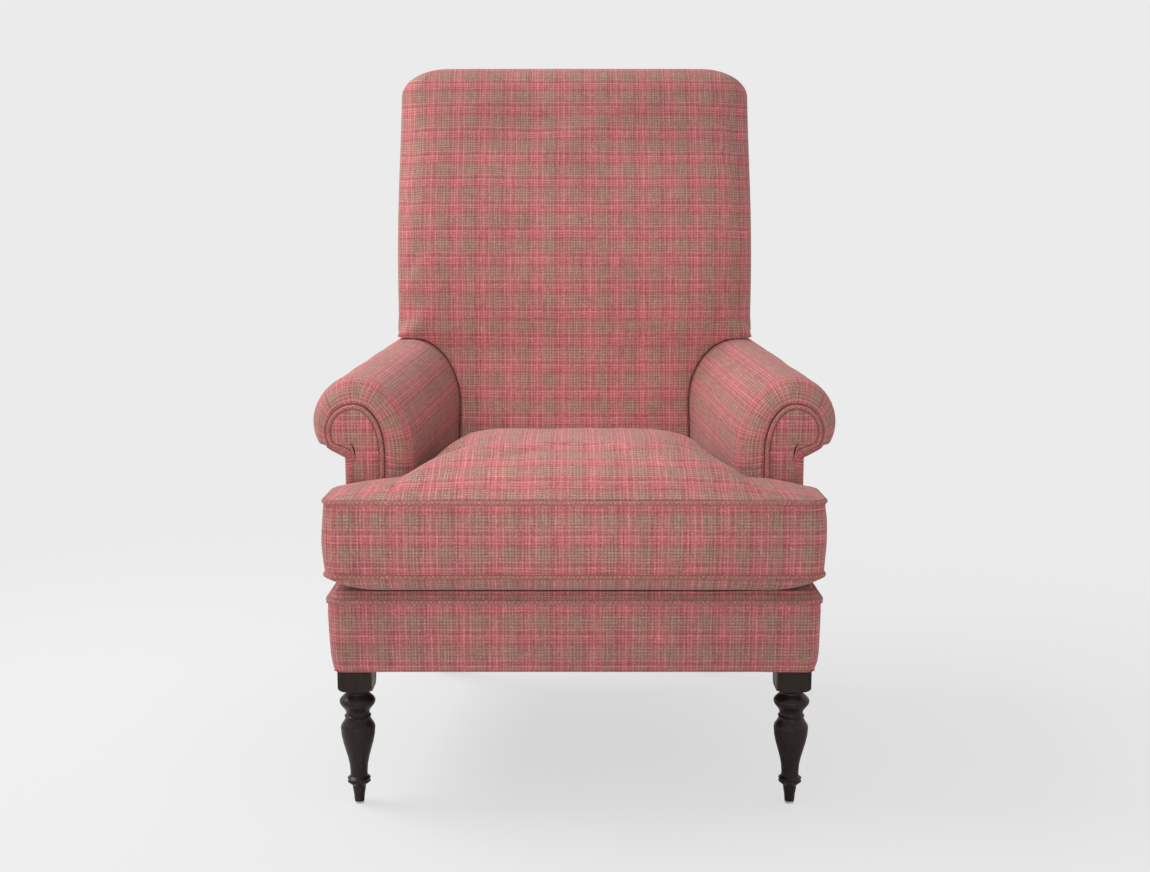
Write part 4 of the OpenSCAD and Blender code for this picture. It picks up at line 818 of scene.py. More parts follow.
def make_cushion():
    s = bpy.context.scene.chair_padding
    outline, rear, neck_d = cushion_outline()
    normal = outward(outline)
    heart = np.array([0, EAR_D * 0.9])
    girth = run_length(outline, around=True)
    front_middle = girth[np.argmin(np.where(outline[:, 1] < 8, np.abs(outline[:, 0]), 1e9))]

    def ring(out, z):
        p = outline + normal * np.reshape(out, (-1, 1))
        return np.stack([p[:, 0], p[:, 1], np.broadcast_to(z, len(p))], -1)

    def dome(share, out, z0, rise):
        p = (outline + normal * out - heart) * share + heart
        return np.stack([p[:, 0], p[:, 1], z0 + rise * cushion_crown(p[:, 0], p[:, 1], rear, neck_d)], -1)

    shares = 1 - np.linspace(0.0, 1, 30)[1:-1] ** 1.7
    shares = np.concatenate([[0.995, 0.988], shares[shares < 0.985]])
    lip = [(SEAM_R * COS(a), SEAM_R * SIN(a)) for a in (80, 105, 135, 180)]
    top_z, low_z = TOP_PIPING_Z, LOW_PIPING_Z
    over = [dome(t, 0, top_z + SEAM_R, s.crown * 1000 - SEAM_R) for t in shares]
    # The underside drops quickly behind its piping and lies flat on the deck
    belly = [1 - max(0.0, (t - 0.8) / 0.2) ** 2.2 for t in shares]
    under = [dome(t, 0, low_z - SEAM_R - (BELLY_H - SEAM_R) * full, 0) for t, full in zip(shares, belly)]
    zip_floor = rear - 1.7
    side = []
    for t in np.concatenate([np.linspace(0, 0.3, 6), np.linspace(0.34, 0.66, 9), np.linspace(0.7, 1, 6)]):
        z = low_z + SEAM_R + t * (top_z - low_z - 2 * SEAM_R)
        bulge = s.side_bulge * 1000 * math.sin(math.pi * t) ** 0.8 + 0.3
        r = ring(np.full(len(outline), bulge), z)
        near = (np.clip((ZIP_L / 2 + 9 - np.abs(r[:, 0])) / 6, 0, 1)
                * np.clip((ZIP_TAPE_H / 2 + 8 - abs(z - ZIP_Z)) / 5, 0, 1) * (outline[:, 1] > rear - 2))
        r[:, 1] = r[:, 1] * (1 - near) + (zip_floor - 0.5) * near
        side.append(r)
    lips = [[ring(a, low_z - b) for a, b in lip], [ring(a, low_z + b) for a, b in reversed(lip[:-1])],
            [ring(a, top_z - b) for a, b in lip], [ring(a, top_z + b) for a, b in reversed(lip[:-1])]]
    bottom = np.stack(under[::-1] + lips[0])
    boxing = np.stack([lips[0][-1]] + lips[1] + side + lips[2])
    top = np.stack([lips[2][-1]] + lips[3] + over)

    def flat_uv(rings, height):
        look = cloth_map(height, np.linspace(-352, 352, 177), np.linspace(-8, rear + 8, 200))
        return np.stack([look(closed(r)[:, 0], closed(r)[:, 1]) for r in rings])

    height_top = lambda x, d: top_z + (s.crown * 1000) * cushion_crown(x, d, rear, neck_d)
    uv_top = flat_uv(top, height_top)
    uv_bottom = flat_uv(bottom, height_top) * (1, -1)
    uv_box = np.zeros((boxing.shape[0], boxing.shape[1] + 1, 2))
    uv_box[..., 0] = (girth - front_middle) * MM
    uv_box[..., 1] = (boxing[:, :1, 2] - top_z) * MM
    bands = [(place(b[..., 0], b[..., 1], b[..., 2]), uv) for b, uv in
             ((bottom, uv_bottom), (boxing, uv_box), (top, uv_top))]
    obj = loft("cushion_cloth", bands)
    co = points_of(obj.data)
    rear_y = rear * MM - CHAIR_D / 2 * MM

    def held(points):
        z = points[:, 2] / MM
        seams = np.maximum(np.clip(1 - np.abs(z - top_z) / 9, 0, 1), np.clip(1 - np.abs(z - low_z) / 9, 0, 1))
        back = (points[:, 1] > rear_y - 0.012).astype(float)
        below = (z < low_z - 2).astype(float)
        return np.maximum(np.maximum(seams, back), below)

    plump(obj, s.pressure, s.swell * 1000, held)
    free = 1 - held(co)
    moved = points_of(obj.data)
    away = normals_of(obj.data)
    moved += away * (free * (ripple(moved, 0.07, 0.0022, 3.0) + ripple(moved, 0.028, 0.0008, 8.0)))[:, None]
    move(obj, moved)
    finish_piece(obj, "seat_cushion", finish("plaid"), ["cushion_cover"])
    for node, z in (("cushion_piping_top", top_z), ("cushion_piping_bottom", low_z)):
        cord = piping(node + "_cloth", place(outline[:, 0], outline[:, 1], z), around=True)
        finish_piece(cord, "seat_cushion", finish("plaid_edge"), [node])
    core = softened("cushion_core", "cushion_foam", 6, 3)
    finish_piece(core, "seat_cushion", finish("foam"), ["cushion_core"])
    make_zip(zip_floor)


def make_zip(floor):
    tape = softened("zip_tape", "zip_tape_cloth", 0.3, 1)
    finish_piece(tape, "seat_cushion", finish("zip"), ["zip_tape"],
                 sheet=dict(flat=(ZIP_TAPE_H * MM, ZIP_L * MM), held="stretched", rests_on=["cushion_cloth"]))
    end = ZIP_L / 2 - 2
    d = floor + 1.2 + 0.75
    rows = [place(np.linspace(-end, end, 60), d, ZIP_Z + k) for k in (-1.3, 1.3)]
    coil = scatter("zip_coil", rows, "block", finish("coil"), 1.5, (0.85, 2.6, 1.3))
    finish_piece(coil, "seat_cushion", finish("coil"), ["zip_chain"])


# Front border

def border_outline(turned=0.0):
    """The border's plan from its left rear end to its right one. Its ends may be turned in."""
    w, front, rear = CUSHION_W / 2, 20.0, ARM_FRONT + FACING_T - 2.5
    path = rounded([(-w, rear, 3), (-w, front, 22), (w, front, 22), (w, rear, 3)], 12)[14:-14]
    end = np.array([(w, rear), (w - turned, rear)][:2 if turned else 1])
    path = resample(np.concatenate([end[::-1] * (-1, 1), path, end]), 6.5)
    run = np.gradient(path, axis=0)
    run /= np.linalg.norm(run, axis=1)[:, None]
    return path, np.stack([run[:, 1], -run[:, 0]], -1)


def make_front_border():
    path, normal = border_outline(14)
    border_z = DECK_Z - 16
    rings = []
    hem = np.where(np.abs(path[:, 0]) < 276, 38.0, 7.0)
    hem = np.convolve(np.pad(hem, 2, "edge"), np.ones(5) / 5, "valid")
    for k in (1.0, 0.6, 0.25, 0.08):
        rings.append((-5.5 - hem * k, COVER_Z))
    for t in np.linspace(0, 1, 16):
        bulge = np.interp(t, [0, 0.25, 0.6, 0.85, 1], [-5.5, -2.1, -0.7, 0.3, 0])
        soft = 2.0 * (1 - min(1, t * 9)) ** 2
        rings.append((bulge - soft, COVER_Z + 0.4 + t * (border_z - SEAM_R - COVER_Z - 0.4)))
    for a in (280, 255, 225, 180, 135, 105, 85):
        rings.append((SEAM_R * COS(a), border_z - 0.3 + SEAM_R * SIN(a)))
    rings += [(-out, border_z + SEAM_R + up) for out, up in ((2.4, 0.8), (3.6, 2.8), (4.2, 5.5))]
    points = np.stack([np.column_stack([path + normal * np.reshape(out, (-1, 1)), np.full(len(path), z)])
                       for out, z in rings])
    along = run_length(path)
    along -= along[-1] / 2
    up = np.concatenate([[0], np.cumsum(np.linalg.norm(np.diff(points[:, len(path) // 2], axis=0), axis=1))])
    uv = np.stack(np.broadcast_arrays(along[None, :], up[:, None]), -1) * MM
    world = place(points[..., 0], points[..., 1], points[..., 2])
    obj = loft("front_border_cloth", [(world, uv)], wrap=False)
    face_out(obj, Vector((0, 0, 0.25)))
    co = points_of(obj.data)
    free = ((co[:, 2] > 0.21) & (co[:, 2] < 0.298)).astype(float)
    away = normals_of(obj.data)
    co += away * (free * ripple(co, 0.09, 0.0014, 5.0))[:, None]
    move(obj, co)
    thicken(obj, 2.4)
    finish_piece(obj, "frame", finish("plaid"), ["front_rail_cover"])
    path, _ = border_outline()
    cord = piping("front_border_piping", place(path[:, 0], path[:, 1], border_z - 0.3))
    finish_piece(cord, "frame", finish("plaid_edge"), ["front_rail_piping"])


def face_out(obj, middle):
    """Turns an open skin's faces away from a point inside it."""
    bm = bmesh.new()
    bm.from_mesh(obj.data)
    bmesh.ops.recalc_face_normals(bm, faces=bm.faces)
    ahead = sum((f.normal.dot(f.calc_center_median() - middle)) * f.calc_area() for f in bm.faces)
    if ahead < 0:
        bmesh.ops.reverse_faces(bm, faces=bm.faces)
    bm.to_mesh(obj.data)
    bm.free()
    smooth(obj.data)


# Arms

def section(cx, top, in_a, in_b, out_r, stem, tuck, fillet):
    """The arm seen from in front: up the inner face, over the scroll and in under it."""
    inner = [(cx - in_a, ARM_BASE + (top - in_b - ARM_BASE) * t) for t in np.linspace(0, 1, 14)[:-1]]
    shoulder = [(cx + in_a * COS(a), top - in_b + in_b * SIN(a)) for a in np.linspace(180, 90, 25)[:-1]]
    roll = [(cx + out_r * COS(a), top - out_r + out_r * SIN(a)) for a in np.linspace(90, -28, 31)]
    end = np.array(roll[-1])
    foot, turn = np.array([stem + fillet, tuck + fillet / 4]), np.array([stem, tuck - fillet])
    flat = [tuple(end + (foot - end) * t) for t in np.linspace(0, 1, 6)[1:-1]]
    bend = [tuple((1 - t) ** 2 * foot + 2 * t * (1 - t) * np.array([stem, tuck]) + t * t * turn)
            for t in np.linspace(0, 1, 6)]
    stem_run = [(stem, turn[1] + (ARM_BASE - turn[1]) * t) for t in np.linspace(0, 1, 14)[1:]]
    return np.array(inner + shoulder + roll + flat + bend + stem_run)


def facing_section(grow):
    return section(FACING_X, FACING_TOP + grow, 39.5 + grow, 68.5, FACING_R + grow,
                   FACING_STEM + min(grow, 0), TUCK_Z + 2.5 - grow, 8)


def arm_point(p, d):
    v = d - ARM_FRONT
    rise = np.clip((p[:, 1] - ARM_BASE) / (RISE_FROM - ARM_BASE), 0, 1)
    return np.stack([p[:, 0] - TAN(ARM_YAW) * v, np.broadcast_to(d, len(p)),
                     p[:, 1] + TAN(ARM_RISE) * v * rise], -1)


def make_arm(side, name):
    full = section(ROLL_X, ARM_H, ROLL_X - ARM_IN_X, SHOULDER_H, ROLL_R, STEM_X, TUCK_Z, 3)
    opening = facing_section(PIPING_R + 0.3)
    rings = [arm_point(opening, ARM_FRONT + FACING_T), arm_point(opening, ARM_FRONT + 2.4)]
    for a in np.linspace(0, 90, 15):
        puff = max(0.06, SIN(a) ** 0.92)
        rings.append(arm_point(opening + (full - opening) * puff, ARM_FRONT + 1 + BORDER_D * (1 - COS(a))))
    last = rear_d(full[:, 1] + TAN(ARM_RISE) * (CHAIR_D - 2 * ARM_FRONT)) - BACK_PANEL_T - 0.8
    first_d = ARM_FRONT + 1 + BORDER_D
    for t in np.linspace(0, 1, 56)[1:]:
        rings.append(arm_point(full, first_d + (last - first_d) * t))
    points = np.stack(rings)
    across = run_length(full)
    steps = np.linalg.norm(np.diff(points, axis=0), axis=2).mean(1)
    down = np.concatenate([[0], np.cumsum(steps)])
    uv = np.zeros((len(rings), len(full) + 1, 2))
    uv[..., 0] = np.append(across, across[-1] + 90) * MM
    uv[..., 1] = down[:, None] * MM
    world = place(side * points[..., 0], points[..., 1], points[..., 2])
    count = len(full)
    obj = loft(name, [(world, uv)], caps=(False, True), lay=(0, 2),
               keep=lambda n, r, c, at: c < count - 1 or n < 0)
    co = points_of(obj.data)
    away = normals_of(obj.data)
    d = co[:, 1] / MM + CHAIR_D / 2
    free = np.clip((d - ARM_FRONT - 8) / 40, 0, 1) * np.clip((inside_d(co[:, 2] / MM) - d) / 20, 0, 1)
    free *= np.clip((co[:, 2] / MM - 470) / 30, 0, 1)
    co += away * (free * (ripple(co, 0.10, 0.0022, 11.0 + side) + ripple(co, 0.035, 0.0007, 4.0)))[:, None]
    move(obj, co)
    face_out(obj, Vector((side * 0.29, 0.05, 0.45)))
    thicken(obj, 6.5)
    tag = SIDES[side]
    finish_piece(obj, "frame", finish("plaid"), [f"arm_cover_{tag}"])


def make_facing(side, name):
    """Keyhole panel on the arm's front, thinly padded over its board."""
    edge = facing_section(-PIPING_R - 0.3)
    edge = np.concatenate([edge, np.linspace(edge[-1], edge[0], 8)[1:-1]])
    levels = []
    for share in (0.2, 0.45, 0.7, 0.85, 0.94, 0.985, 1.0):
        # The stem is long, so rings shrink towards its own middle line
        axis = np.stack([np.full(len(edge), FACING_X - 3),
                         np.clip(edge[:, 1], ARM_BASE + 40 * (1 - share), 545)], -1)
        p = axis + (edge - axis) * share
        levels.append((p, ARM_FRONT - 2.6 * math.sqrt(max(0, 1 - share ** 2.5)) + 0.6))
    rings = [np.stack([p[:, 0], np.full(len(p), d), p[:, 1]], -1) for p, d in levels]
    rings.append(np.stack([edge[:, 0], np.full(len(edge), ARM_FRONT + FACING_T), edge[:, 1]], -1))
    points = np.stack(rings)
    uv = np.concatenate([points, points[:, :1]], 1)[..., (0, 2)] * MM
    obj = loft(name, [(place(side * points[..., 0], points[..., 1], points[..., 2]), uv)])
    tag = SIDES[side]
    finish_piece(obj, "frame", finish("plaid"), [f"arm_facing_{tag}"])
    p = facing_section(0)
    cord = piping(name.replace("cloth", "piping"),
                  place(side * p[:, 0], ARM_FRONT + FACING_T - PIPING_R - 1, p[:, 1]))
    finish_piece(cord, "frame", finish("plaid_edge"), [f"arm_facing_piping_{tag}"])


def grid_panel(name, outer, thickness, bulge, uv):
    """Stretched panel from a grid of points on its outer face (R x C x 3) and the way out of it."""
    points, out = outer
    rows, cols = points.shape[:2]
    a, b = np.linspace(-1, 1, rows)[:, None], np.linspace(-1, 1, cols)[None, :]
    rise = (1 - np.abs(a) ** 6) * (1 - np.abs(b) ** 6)
    front = points + out * (rise * bulge * MM)[..., None]
    obj = loft(name, [(front, np.concatenate([uv, uv[:, -1:]], 1))], wrap=False)
    bm = bmesh.new()
    bm.from_mesh(obj.data)
    if sum(f.normal.dot(Vector(out)) for f in bm.faces) < 0:
        bmesh.ops.reverse_faces(bm, faces=bm.faces)
    bm.to_mesh(obj.data)
    bm.free()
    smooth(obj.data)
    return thicken(obj, thickness)


def make_outside_arm(side, name):
    start, top_z, y_end = FACING_T - 2.8, TUCK_Z - 5, 620.0
    t, q = np.meshgrid(np.linspace(0, 1, 40), np.linspace(0, 1, 60), indexing="ij")

    def height(y):
        return COVER_Z + (top_z + TAN(ARM_RISE) * y - COVER_Z) * t

    # The panel ends at the leaning outside back, so its length follows its height in a few rounds
    for _ in range(4):
        d_end = rear_d(height(start + (y_end - start) * q)) - 0.4
        y_end = (d_end - ARM_FRONT - (PANEL_OUT_X - PIVOT_X) * SIN(ARM_YAW)) / COS(ARM_YAW)
    y = start + (y_end - start) * q
    z = height(y)
    out = np.array([side * COS(ARM_YAW), SIN(ARM_YAW), 0])
    points = arm_place(PANEL_OUT_X - 1.2, y, z, side)
    uv = np.stack([y, z], -1) * MM
    # Its rear edge turns in behind the corner, up to the outside back
    turn = side * (POST_OUT_X + 1.5) * MM - points[:, -1, :1]
    inward = turn * np.linspace(0, 1, 5)[1:]
    points = np.concatenate([points, points[:, -1:] + inward[..., None] * (1, 0, 0)], 1)
    uv = np.concatenate([uv, uv[:, -1:] + abs(inward)[..., None] * (1, 0)], 1)
    obj = grid_panel(name, (points, out), 2.2, 1.8, uv)
    tag = SIDES[side]
    width = float(y[:, -1].max() - y[0, 0]) * MM + float(abs(turn).max())
    finish_piece(obj, "frame", finish("plaid"), [f"outside_arm_panel_{tag}"],
                 sheet=dict(flat=(width, float(z[-1].mean() - COVER_Z) * MM), held="stretched",
                            rests_on=[f"side_seat_rail_{tag}"]))


# Back

def arm_limit(z, d):
    """Half the width that the arms leave for the inside back."""
    over = ARM_H + 1.2
    up = (z - RISE_FROM) / (SHOULDER_H + 0.8)
    round_ = np.where(up <= 0, 1, np.sqrt(np.maximum(0, 1 - up * up)))
    room = ROLL_X - (ROLL_X - ARM_IN_X + 0.8) * round_ - TAN(ARM_YAW) * (d - ARM_FRONT)
    return np.where(z >= over, BACK_W / 2, room)


def ring_lift(z, d):
    rise = np.clip((z - ARM_BASE) / (RISE_FROM - ARM_BASE), 0, 1)
    return TAN(ARM_RISE) * (d - ARM_FRONT) * rise * np.clip(1 - (z - ARM_H - 1.2) / 200, 0, 1)


def back_ring(z):
    t = min(1, max(0, (z - BACK_EDGE_Z) / BACK_CORNER_H))
    drop = 1 - math.sqrt(max(0, 1 - t * t))
    # The edges' roundings taper as the top rolls in from the front and the rear
    slim = 1 - 0.84 * drop
    edge = slim * (12 + 30 * min(1, max(0, (z - ARM_H) / 42)))
    barrel, rear_r = 10 * slim, 16 * slim
    at = z + ring_lift(z, inside_d(z))
    roll = drop * BACK_TOP_T * 0.42
    front, rear = inside_d(at) + roll, rear_d(min(at, BACK_EDGE_Z)) - roll
    half = BACK_W / 2
    path = [(edge + (half - edge) * (1 - k / 30), front) for k in range(30)]
    path += [(edge * (1 - SIN(a)), front + barrel + edge * (1 - COS(a))) for a in np.linspace(0, 90, 13)]
    run = rear - rear_r - (front + barrel + edge)
    path += [(0.0, front + barrel + edge + run * k / 8) for k in range(1, 8)]
    path += [(rear_r * (1 - COS(a)), rear - rear_r * (1 - SIN(a))) for a in np.linspace(0, 90, 7)]
    p = np.array(path)
    w = arm_limit(z, p[:, 1]) - BACK_CORNER_W * drop
    x = w - p[:, 0] * w / half
    d = p[:, 1] + np.where(p[:, 0] > edge, barrel * (x / w) ** 2, 0)
    inner = min(POST_OUT_X + 1.6, x[-1] - 2)
    x, d = np.append(x, [(x[-1] + inner) / 2, inner]), np.append(d, [d[-1], d[-1]])
    x, d = np.concatenate([-x[:0:-1], x]), np.concatenate([d[:0:-1], d])
    return np.stack([x, d, z + ring_lift(z, d)], -1)


def make_inside_back():
    s = bpy.context.scene.chair_padding
    over = ARM_H + 1.2
    levels = np.concatenate([np.linspace(ARM_BASE, RISE_FROM, 18)[:-1],
                             RISE_FROM + (SHOULDER_H + 0.8) * np.sin(np.radians(np.linspace(0, 90, 20)))[:-1],
                             [over - 0.45], np.linspace(over, BACK_EDGE_Z, 58)[:-1],
                             BACK_EDGE_Z + BACK_CORNER_H * np.sin(np.radians(np.linspace(0, 90, 16)))])
    rings = np.stack([back_ring(z) for z in levels])
    cols = rings.shape[1]
    mid = cols // 2
    uv = np.zeros((len(levels), cols + 1, 2))
    centre = rings[:, mid]
    rise = np.concatenate([[0], np.cumsum(np.linalg.norm(np.diff(centre, axis=0), axis=1))])
    flat_z = centre[:, 2]
    for k, r in enumerate(rings):
        run = run_length(r)
        uv[k, :cols, 0] = run - run[mid]
        if levels[k] <= BACK_EDGE_Z:
            uv[k, :cols, 1] = np.interp(r[:, 2], flat_z[:-14], rise[:-14])
            rear_u = uv[k, cols - 1, 0] + abs(r[-1, 0])
        else:
            # On the front and the rear, points that draw in sideways slide along the cloth
            along = np.gradient(r[:, :2], axis=0)
            step = r - rings[k - 1]
            step[:, 0] *= abs(along[:, 1]) / np.linalg.norm(along, axis=1)
            uv[k, :cols, 1] = uv[k - 1, :cols, 1] + np.linalg.norm(step, axis=1)
            uv[k, cols - 1, 0] = rear_u - abs(r[-1, 0])
        uv[k, cols] = uv[k, cols - 1] + (np.linalg.norm(r[0] - r[-1]), 0)
    world = place(rings[..., 0], rings[..., 1], rings[..., 2])
    top = sum(levels < BACK_EDGE_Z - 1)
    obj = loft("inside_back_cloth", [(world, uv * MM)],
               keep=lambda n, r, c, at: not (n >= 0 and c == cols - 1 and r < top) and n != -1, lay=(0, 1))
    co = points_of(obj.data)
    away = normals_of(obj.data)
    x, z = co[:, 0] / MM, co[:, 2] / MM
    facing = np.clip(-away[:, 1] * 1.6 - 0.2, 0, 1) * np.clip((z - 470) / 60, 0, 1)
    facing *= np.clip((CHAIR_H - 10 - z) / 40, 0, 1)
    # Shallow hollows and swells of the stuffing: place, half sizes and rise
    hollows = [(-62, 985, 46, 26, -3.2), (28, 992, 40, 20, 2.2), (95, 930, 60, 45, -2.6),
               (-25, 735, 70, 60, 2.6), (-110, 800, 55, 80, -2.0), (120, 690, 60, 70, -2.0),
               (-140, 905, 45, 60, 1.8), (10, 860, 80, 40, -1.6), (0, 600, 60, 80, 3.0),
               (-150, 640, 50, 60, -2.2), (160, 560, 40, 50, 1.5)]
    depth = ripple(co, 0.11, 0.003, 21.0) + ripple(co, 0.045, 0.0011, 9.0)
    for hx, hz, sx, sz, deep in hollows:
        depth += deep * MM * np.exp(-((x - hx) / sx) ** 2 - ((z - hz) / sz) ** 2)
    co += away * (facing * depth)[:, None]
    move(obj, co)

    def held(points):
        z = points[:, 2] / MM
        sides = np.clip((points[:, 1] / MM + CHAIR_D / 2 - inside_d(z) - 20) / 30, 0, 1)
        low, high = np.clip((640 - z) / 60, 0, 1), np.clip((z - BACK_EDGE_Z + 8) / 30, 0, 1)
        return np.maximum(np.maximum(sides, low), high)

    plump(obj, s.pressure, s.back_swell * 1000, held)
    thicken(obj, 7)
    # Its rear edges stay under the outside back
    co = points_of(obj.data)
    under = (np.abs(co[:, 0]) < (POST_OUT_X + 0.3) * MM) & (co[:, 2] < (BACK_EDGE_Z - 5) * MM)
    co[under, 1] = np.minimum(co[under, 1], (rear_d(co[under, 2] / MM) - 1.6 - CHAIR_D / 2) * MM)
    move(obj, co)
    finish_piece(obj, "frame", finish("plaid"), ["inside_back_cover"])
    foam = softened("back_foam", "back_foam_slab", 8, 3)
    finish_piece(foam, "frame", finish("foam"), ["back_foam"])


def make_outside_back():
    w = POST_OUT_X + 0.4
    length = (BACK_EDGE_Z - SEAT_FRAME_Z) / COS(BACK_LEAN) + BACK_PANEL_T * TAN(BACK_LEAN)
    x, z = np.meshgrid(np.linspace(-w, w, 60), np.linspace(1.2, length - 0.4, 90))
    points = back_place(x, BACK_PANEL_T - 0.6, z)
    out = np.array([0, COS(BACK_LEAN), -SIN(BACK_LEAN)])
    obj = grid_panel("outside_back_cloth", (points, out), 2.2, 1.5, np.stack([-x, z], -1) * MM)
    finish_piece(obj, "frame", finish("plaid"), ["outside_back_panel"],
                 sheet=dict(flat=(2 * w * MM, length * MM), held="stretched",
                            rests_on=["back_post_left", "back_post_right", "back_top_rail",
                                      "rear_seat_rail"]))
    # Blind hand stitches close its sides and top onto the inside back's cloth
    z0, z1 = 300.0, length - 3
    side = [back_place(np.full(40, k * (w + 0.2)), BACK_PANEL_T - 0.2, np.linspace(z0, z1, 40))
            for k in SIDES]
    top = back_place(np.linspace(-w, w, 40), BACK_PANEL_T - 0.2, np.full(40, length + 0.2))
    seams = scatter("outside_back_stitches", side + [top], "stitch", finish("thread"), 9.0, (1.0, 1.0, 4.2))
    finish_piece(seams, "frame", finish("thread"))


# Seat, webbing and cloths under the cover

def make_deck():
    obj = softened("seat_deck", "deck_pad", 7, 4, cell=24)
    co = points_of(obj.data)
    z = co[:, 2] / MM
    d = co[:, 1] / MM + CHAIR_D / 2
    top = np.clip((z - (DECK_Z - 1)) / 1, 0, 1)
    fall = np.exp(-(co[:, 0] / 0.19) ** 2 - ((d - 330) / 150) ** 2)
    co[:, 2] -= top * (fall * 0.0035 + np.clip((95 - d) / 50, 0, 1) * 0.004)
    move(obj, co)
    lay_cloth(obj)
    # A lip of the cover's own cloth faces the deck's front, where it may show under the cushion
    lip = link(bpy.data.objects.new("deck_lip_cloth", obj.data.copy()))
    bm = bmesh.new()
    bm.from_mesh(lip.data)
    bmesh.ops.bisect_plane(bm, geom=bm.verts[:] + bm.edges[:] + bm.faces[:], clear_outer=True,
                           plane_co=(0, (DECK_LIP_D - CHAIR_D / 2) * MM, 0), plane_no=(0, 1, 0))
    bm.normal_update()
    for v in bm.verts:
        v.co += v.normal * 0.5 * MM
    under = [f for f in bm.faces if f.normal.z < -0.3 or f.normal.y > 0.9]
    bmesh.ops.delete(bm, geom=under, context="FACES")
    bm.to_mesh(lip.data)
    bm.free()
    lay_cloth(thicken(lip, 0.4))
    finish_piece(obj, "frame", finish("deck"), ["seat_deck"])
    finish_piece(lip, "frame", finish("plaid"),
                 sheet=dict(flat=((CUSHION_W + 32) * MM, DECK_LIP_D * MM), held="stretched",
                            rests_on=["deck_pad"]))


def make_webbing():
    for node in ("seat_webbing_long", "seat_webbing_cross", "back_webbing_upright", "back_webbing_cross"):
        strips = softened(node, node + "_straps", 0.4, 1)
        lay_straps(strips, "x" if node.endswith("cross") else "along")
        total = sum(p.area for p in strips.data.polygons) / 2
        rail = "front_seat_rail" if node.startswith("seat") else "back_top_rail"
        finish_piece(strips, "frame", finish("webbing"), [node],
                     sheet=dict(flat=(WEB_W * MM, round(total / (WEB_W + WEB_T) / MM, 3)), held="stretched",
                                rests_on=[rail]))


def lay_straps(obj, run):
    """Cloth coordinates with the strap's own middle at zero, so its stripes run along it."""
    mesh = obj.data
    layer = mesh.uv_layers["cloth"]
    bm = bmesh.new()
    bm.from_mesh(mesh)
    bm.verts.ensure_lookup_table()
    left, middles = set(range(len(bm.verts))), {}
    while left:
        stack, group = [left.pop()], []
        while stack:
            i = stack.pop()
            group.append(i)
            for e in bm.verts[i].link_edges:
                j = e.other_vert(bm.verts[i]).index
                if j in left:
                    left.remove(j)
                    stack.append(j)
        co = np.array([bm.verts[i].co for i in group])
        centre = (co.max(0) + co.min(0)) / 2
        for i in group:
            middles[i] = centre
    bm.free()
    for loop in mesh.loops:
        co, c = mesh.vertices[loop.vertex_index].co, middles[loop.vertex_index]
        if run == "x":
            axis = 1 if abs(c[2] - RAIL_TOP * MM) < 0.02 else 2
            across, length = co[axis] - c[axis], co[0]
        else:
            across, length = co[0] - c[0], co[1] + co[2]
        layer.data[loop.index].uv = (across, length)


def make_linings():
    for tag in ("left", "right"):
        obj = softened(f"arm_lining_{tag}", f"arm_lining_{tag}_hessian", 0.3, 1)
        lo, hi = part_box(f"arm_lining_{tag}")
        width, height = math.hypot(hi[1] - lo[1], hi[0] - lo[0]), hi[2] - lo[2]
        area = sum(p.area for p in obj.data.polygons) / 2
        finish_piece(obj, "frame", finish("hessian"), [f"arm_lining_{tag}"],
                     sheet=dict(flat=(width, height), held="stretched", area=min(area * 0.99, width * height),
                                rests_on=[f"arm_top_rail_{tag}", f"arm_tacking_rail_{tag}"]))
    dust = softened("dust_cover", "dust_cloth", 0.2, 1, cell=30)
    lo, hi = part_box("dust_cover")
    area = sum(p.area for p in dust.data.polygons) / 2
    finish_piece(dust, "frame", finish("dust"), ["dust_cover"],
                 sheet=dict(flat=(hi[0] - lo[0], hi[1] - lo[1]), held="stretched", area=area * 0.99,
                            rests_on=["side_seat_rail_left", "side_seat_rail_right", "rear_seat_rail"]))


# Frame and metal

WOODS = {
    "beech_x": ["front_seat_rail", "rear_seat_rail", "back_top_rail", "back_tacking_rail", "frame_dowels",
                "corner_blocks"],
    "beech_y": ["side_seat_rail_left", "side_seat_rail_right", "arm_top_rail_left", "arm_top_rail_right",
                "arm_tacking_rail_left", "arm_tacking_rail_right"],
    "beech_z": ["arm_post_left", "arm_post_right", "back_post_left", "back_post_right"],
    "leg": ["front_leg_left", "front_leg_right", "rear_leg_left", "rear_leg_right"],
    "steel": ["corner_block_screws", "leg_bolts", "leg_insert_nuts", "dust_cover_staples", "zip_slider"],
    "nylon": ["leg_glides"],
}


def paint_nodes(kinds):
    for kind in kinds:
        for node in WOODS[kind]:
            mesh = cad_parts[node].data
            if not mesh.materials:
                mesh.materials.append(None)
            for i in range(len(mesh.materials)):
                mesh.materials[i] = finish(kind)


# Stage

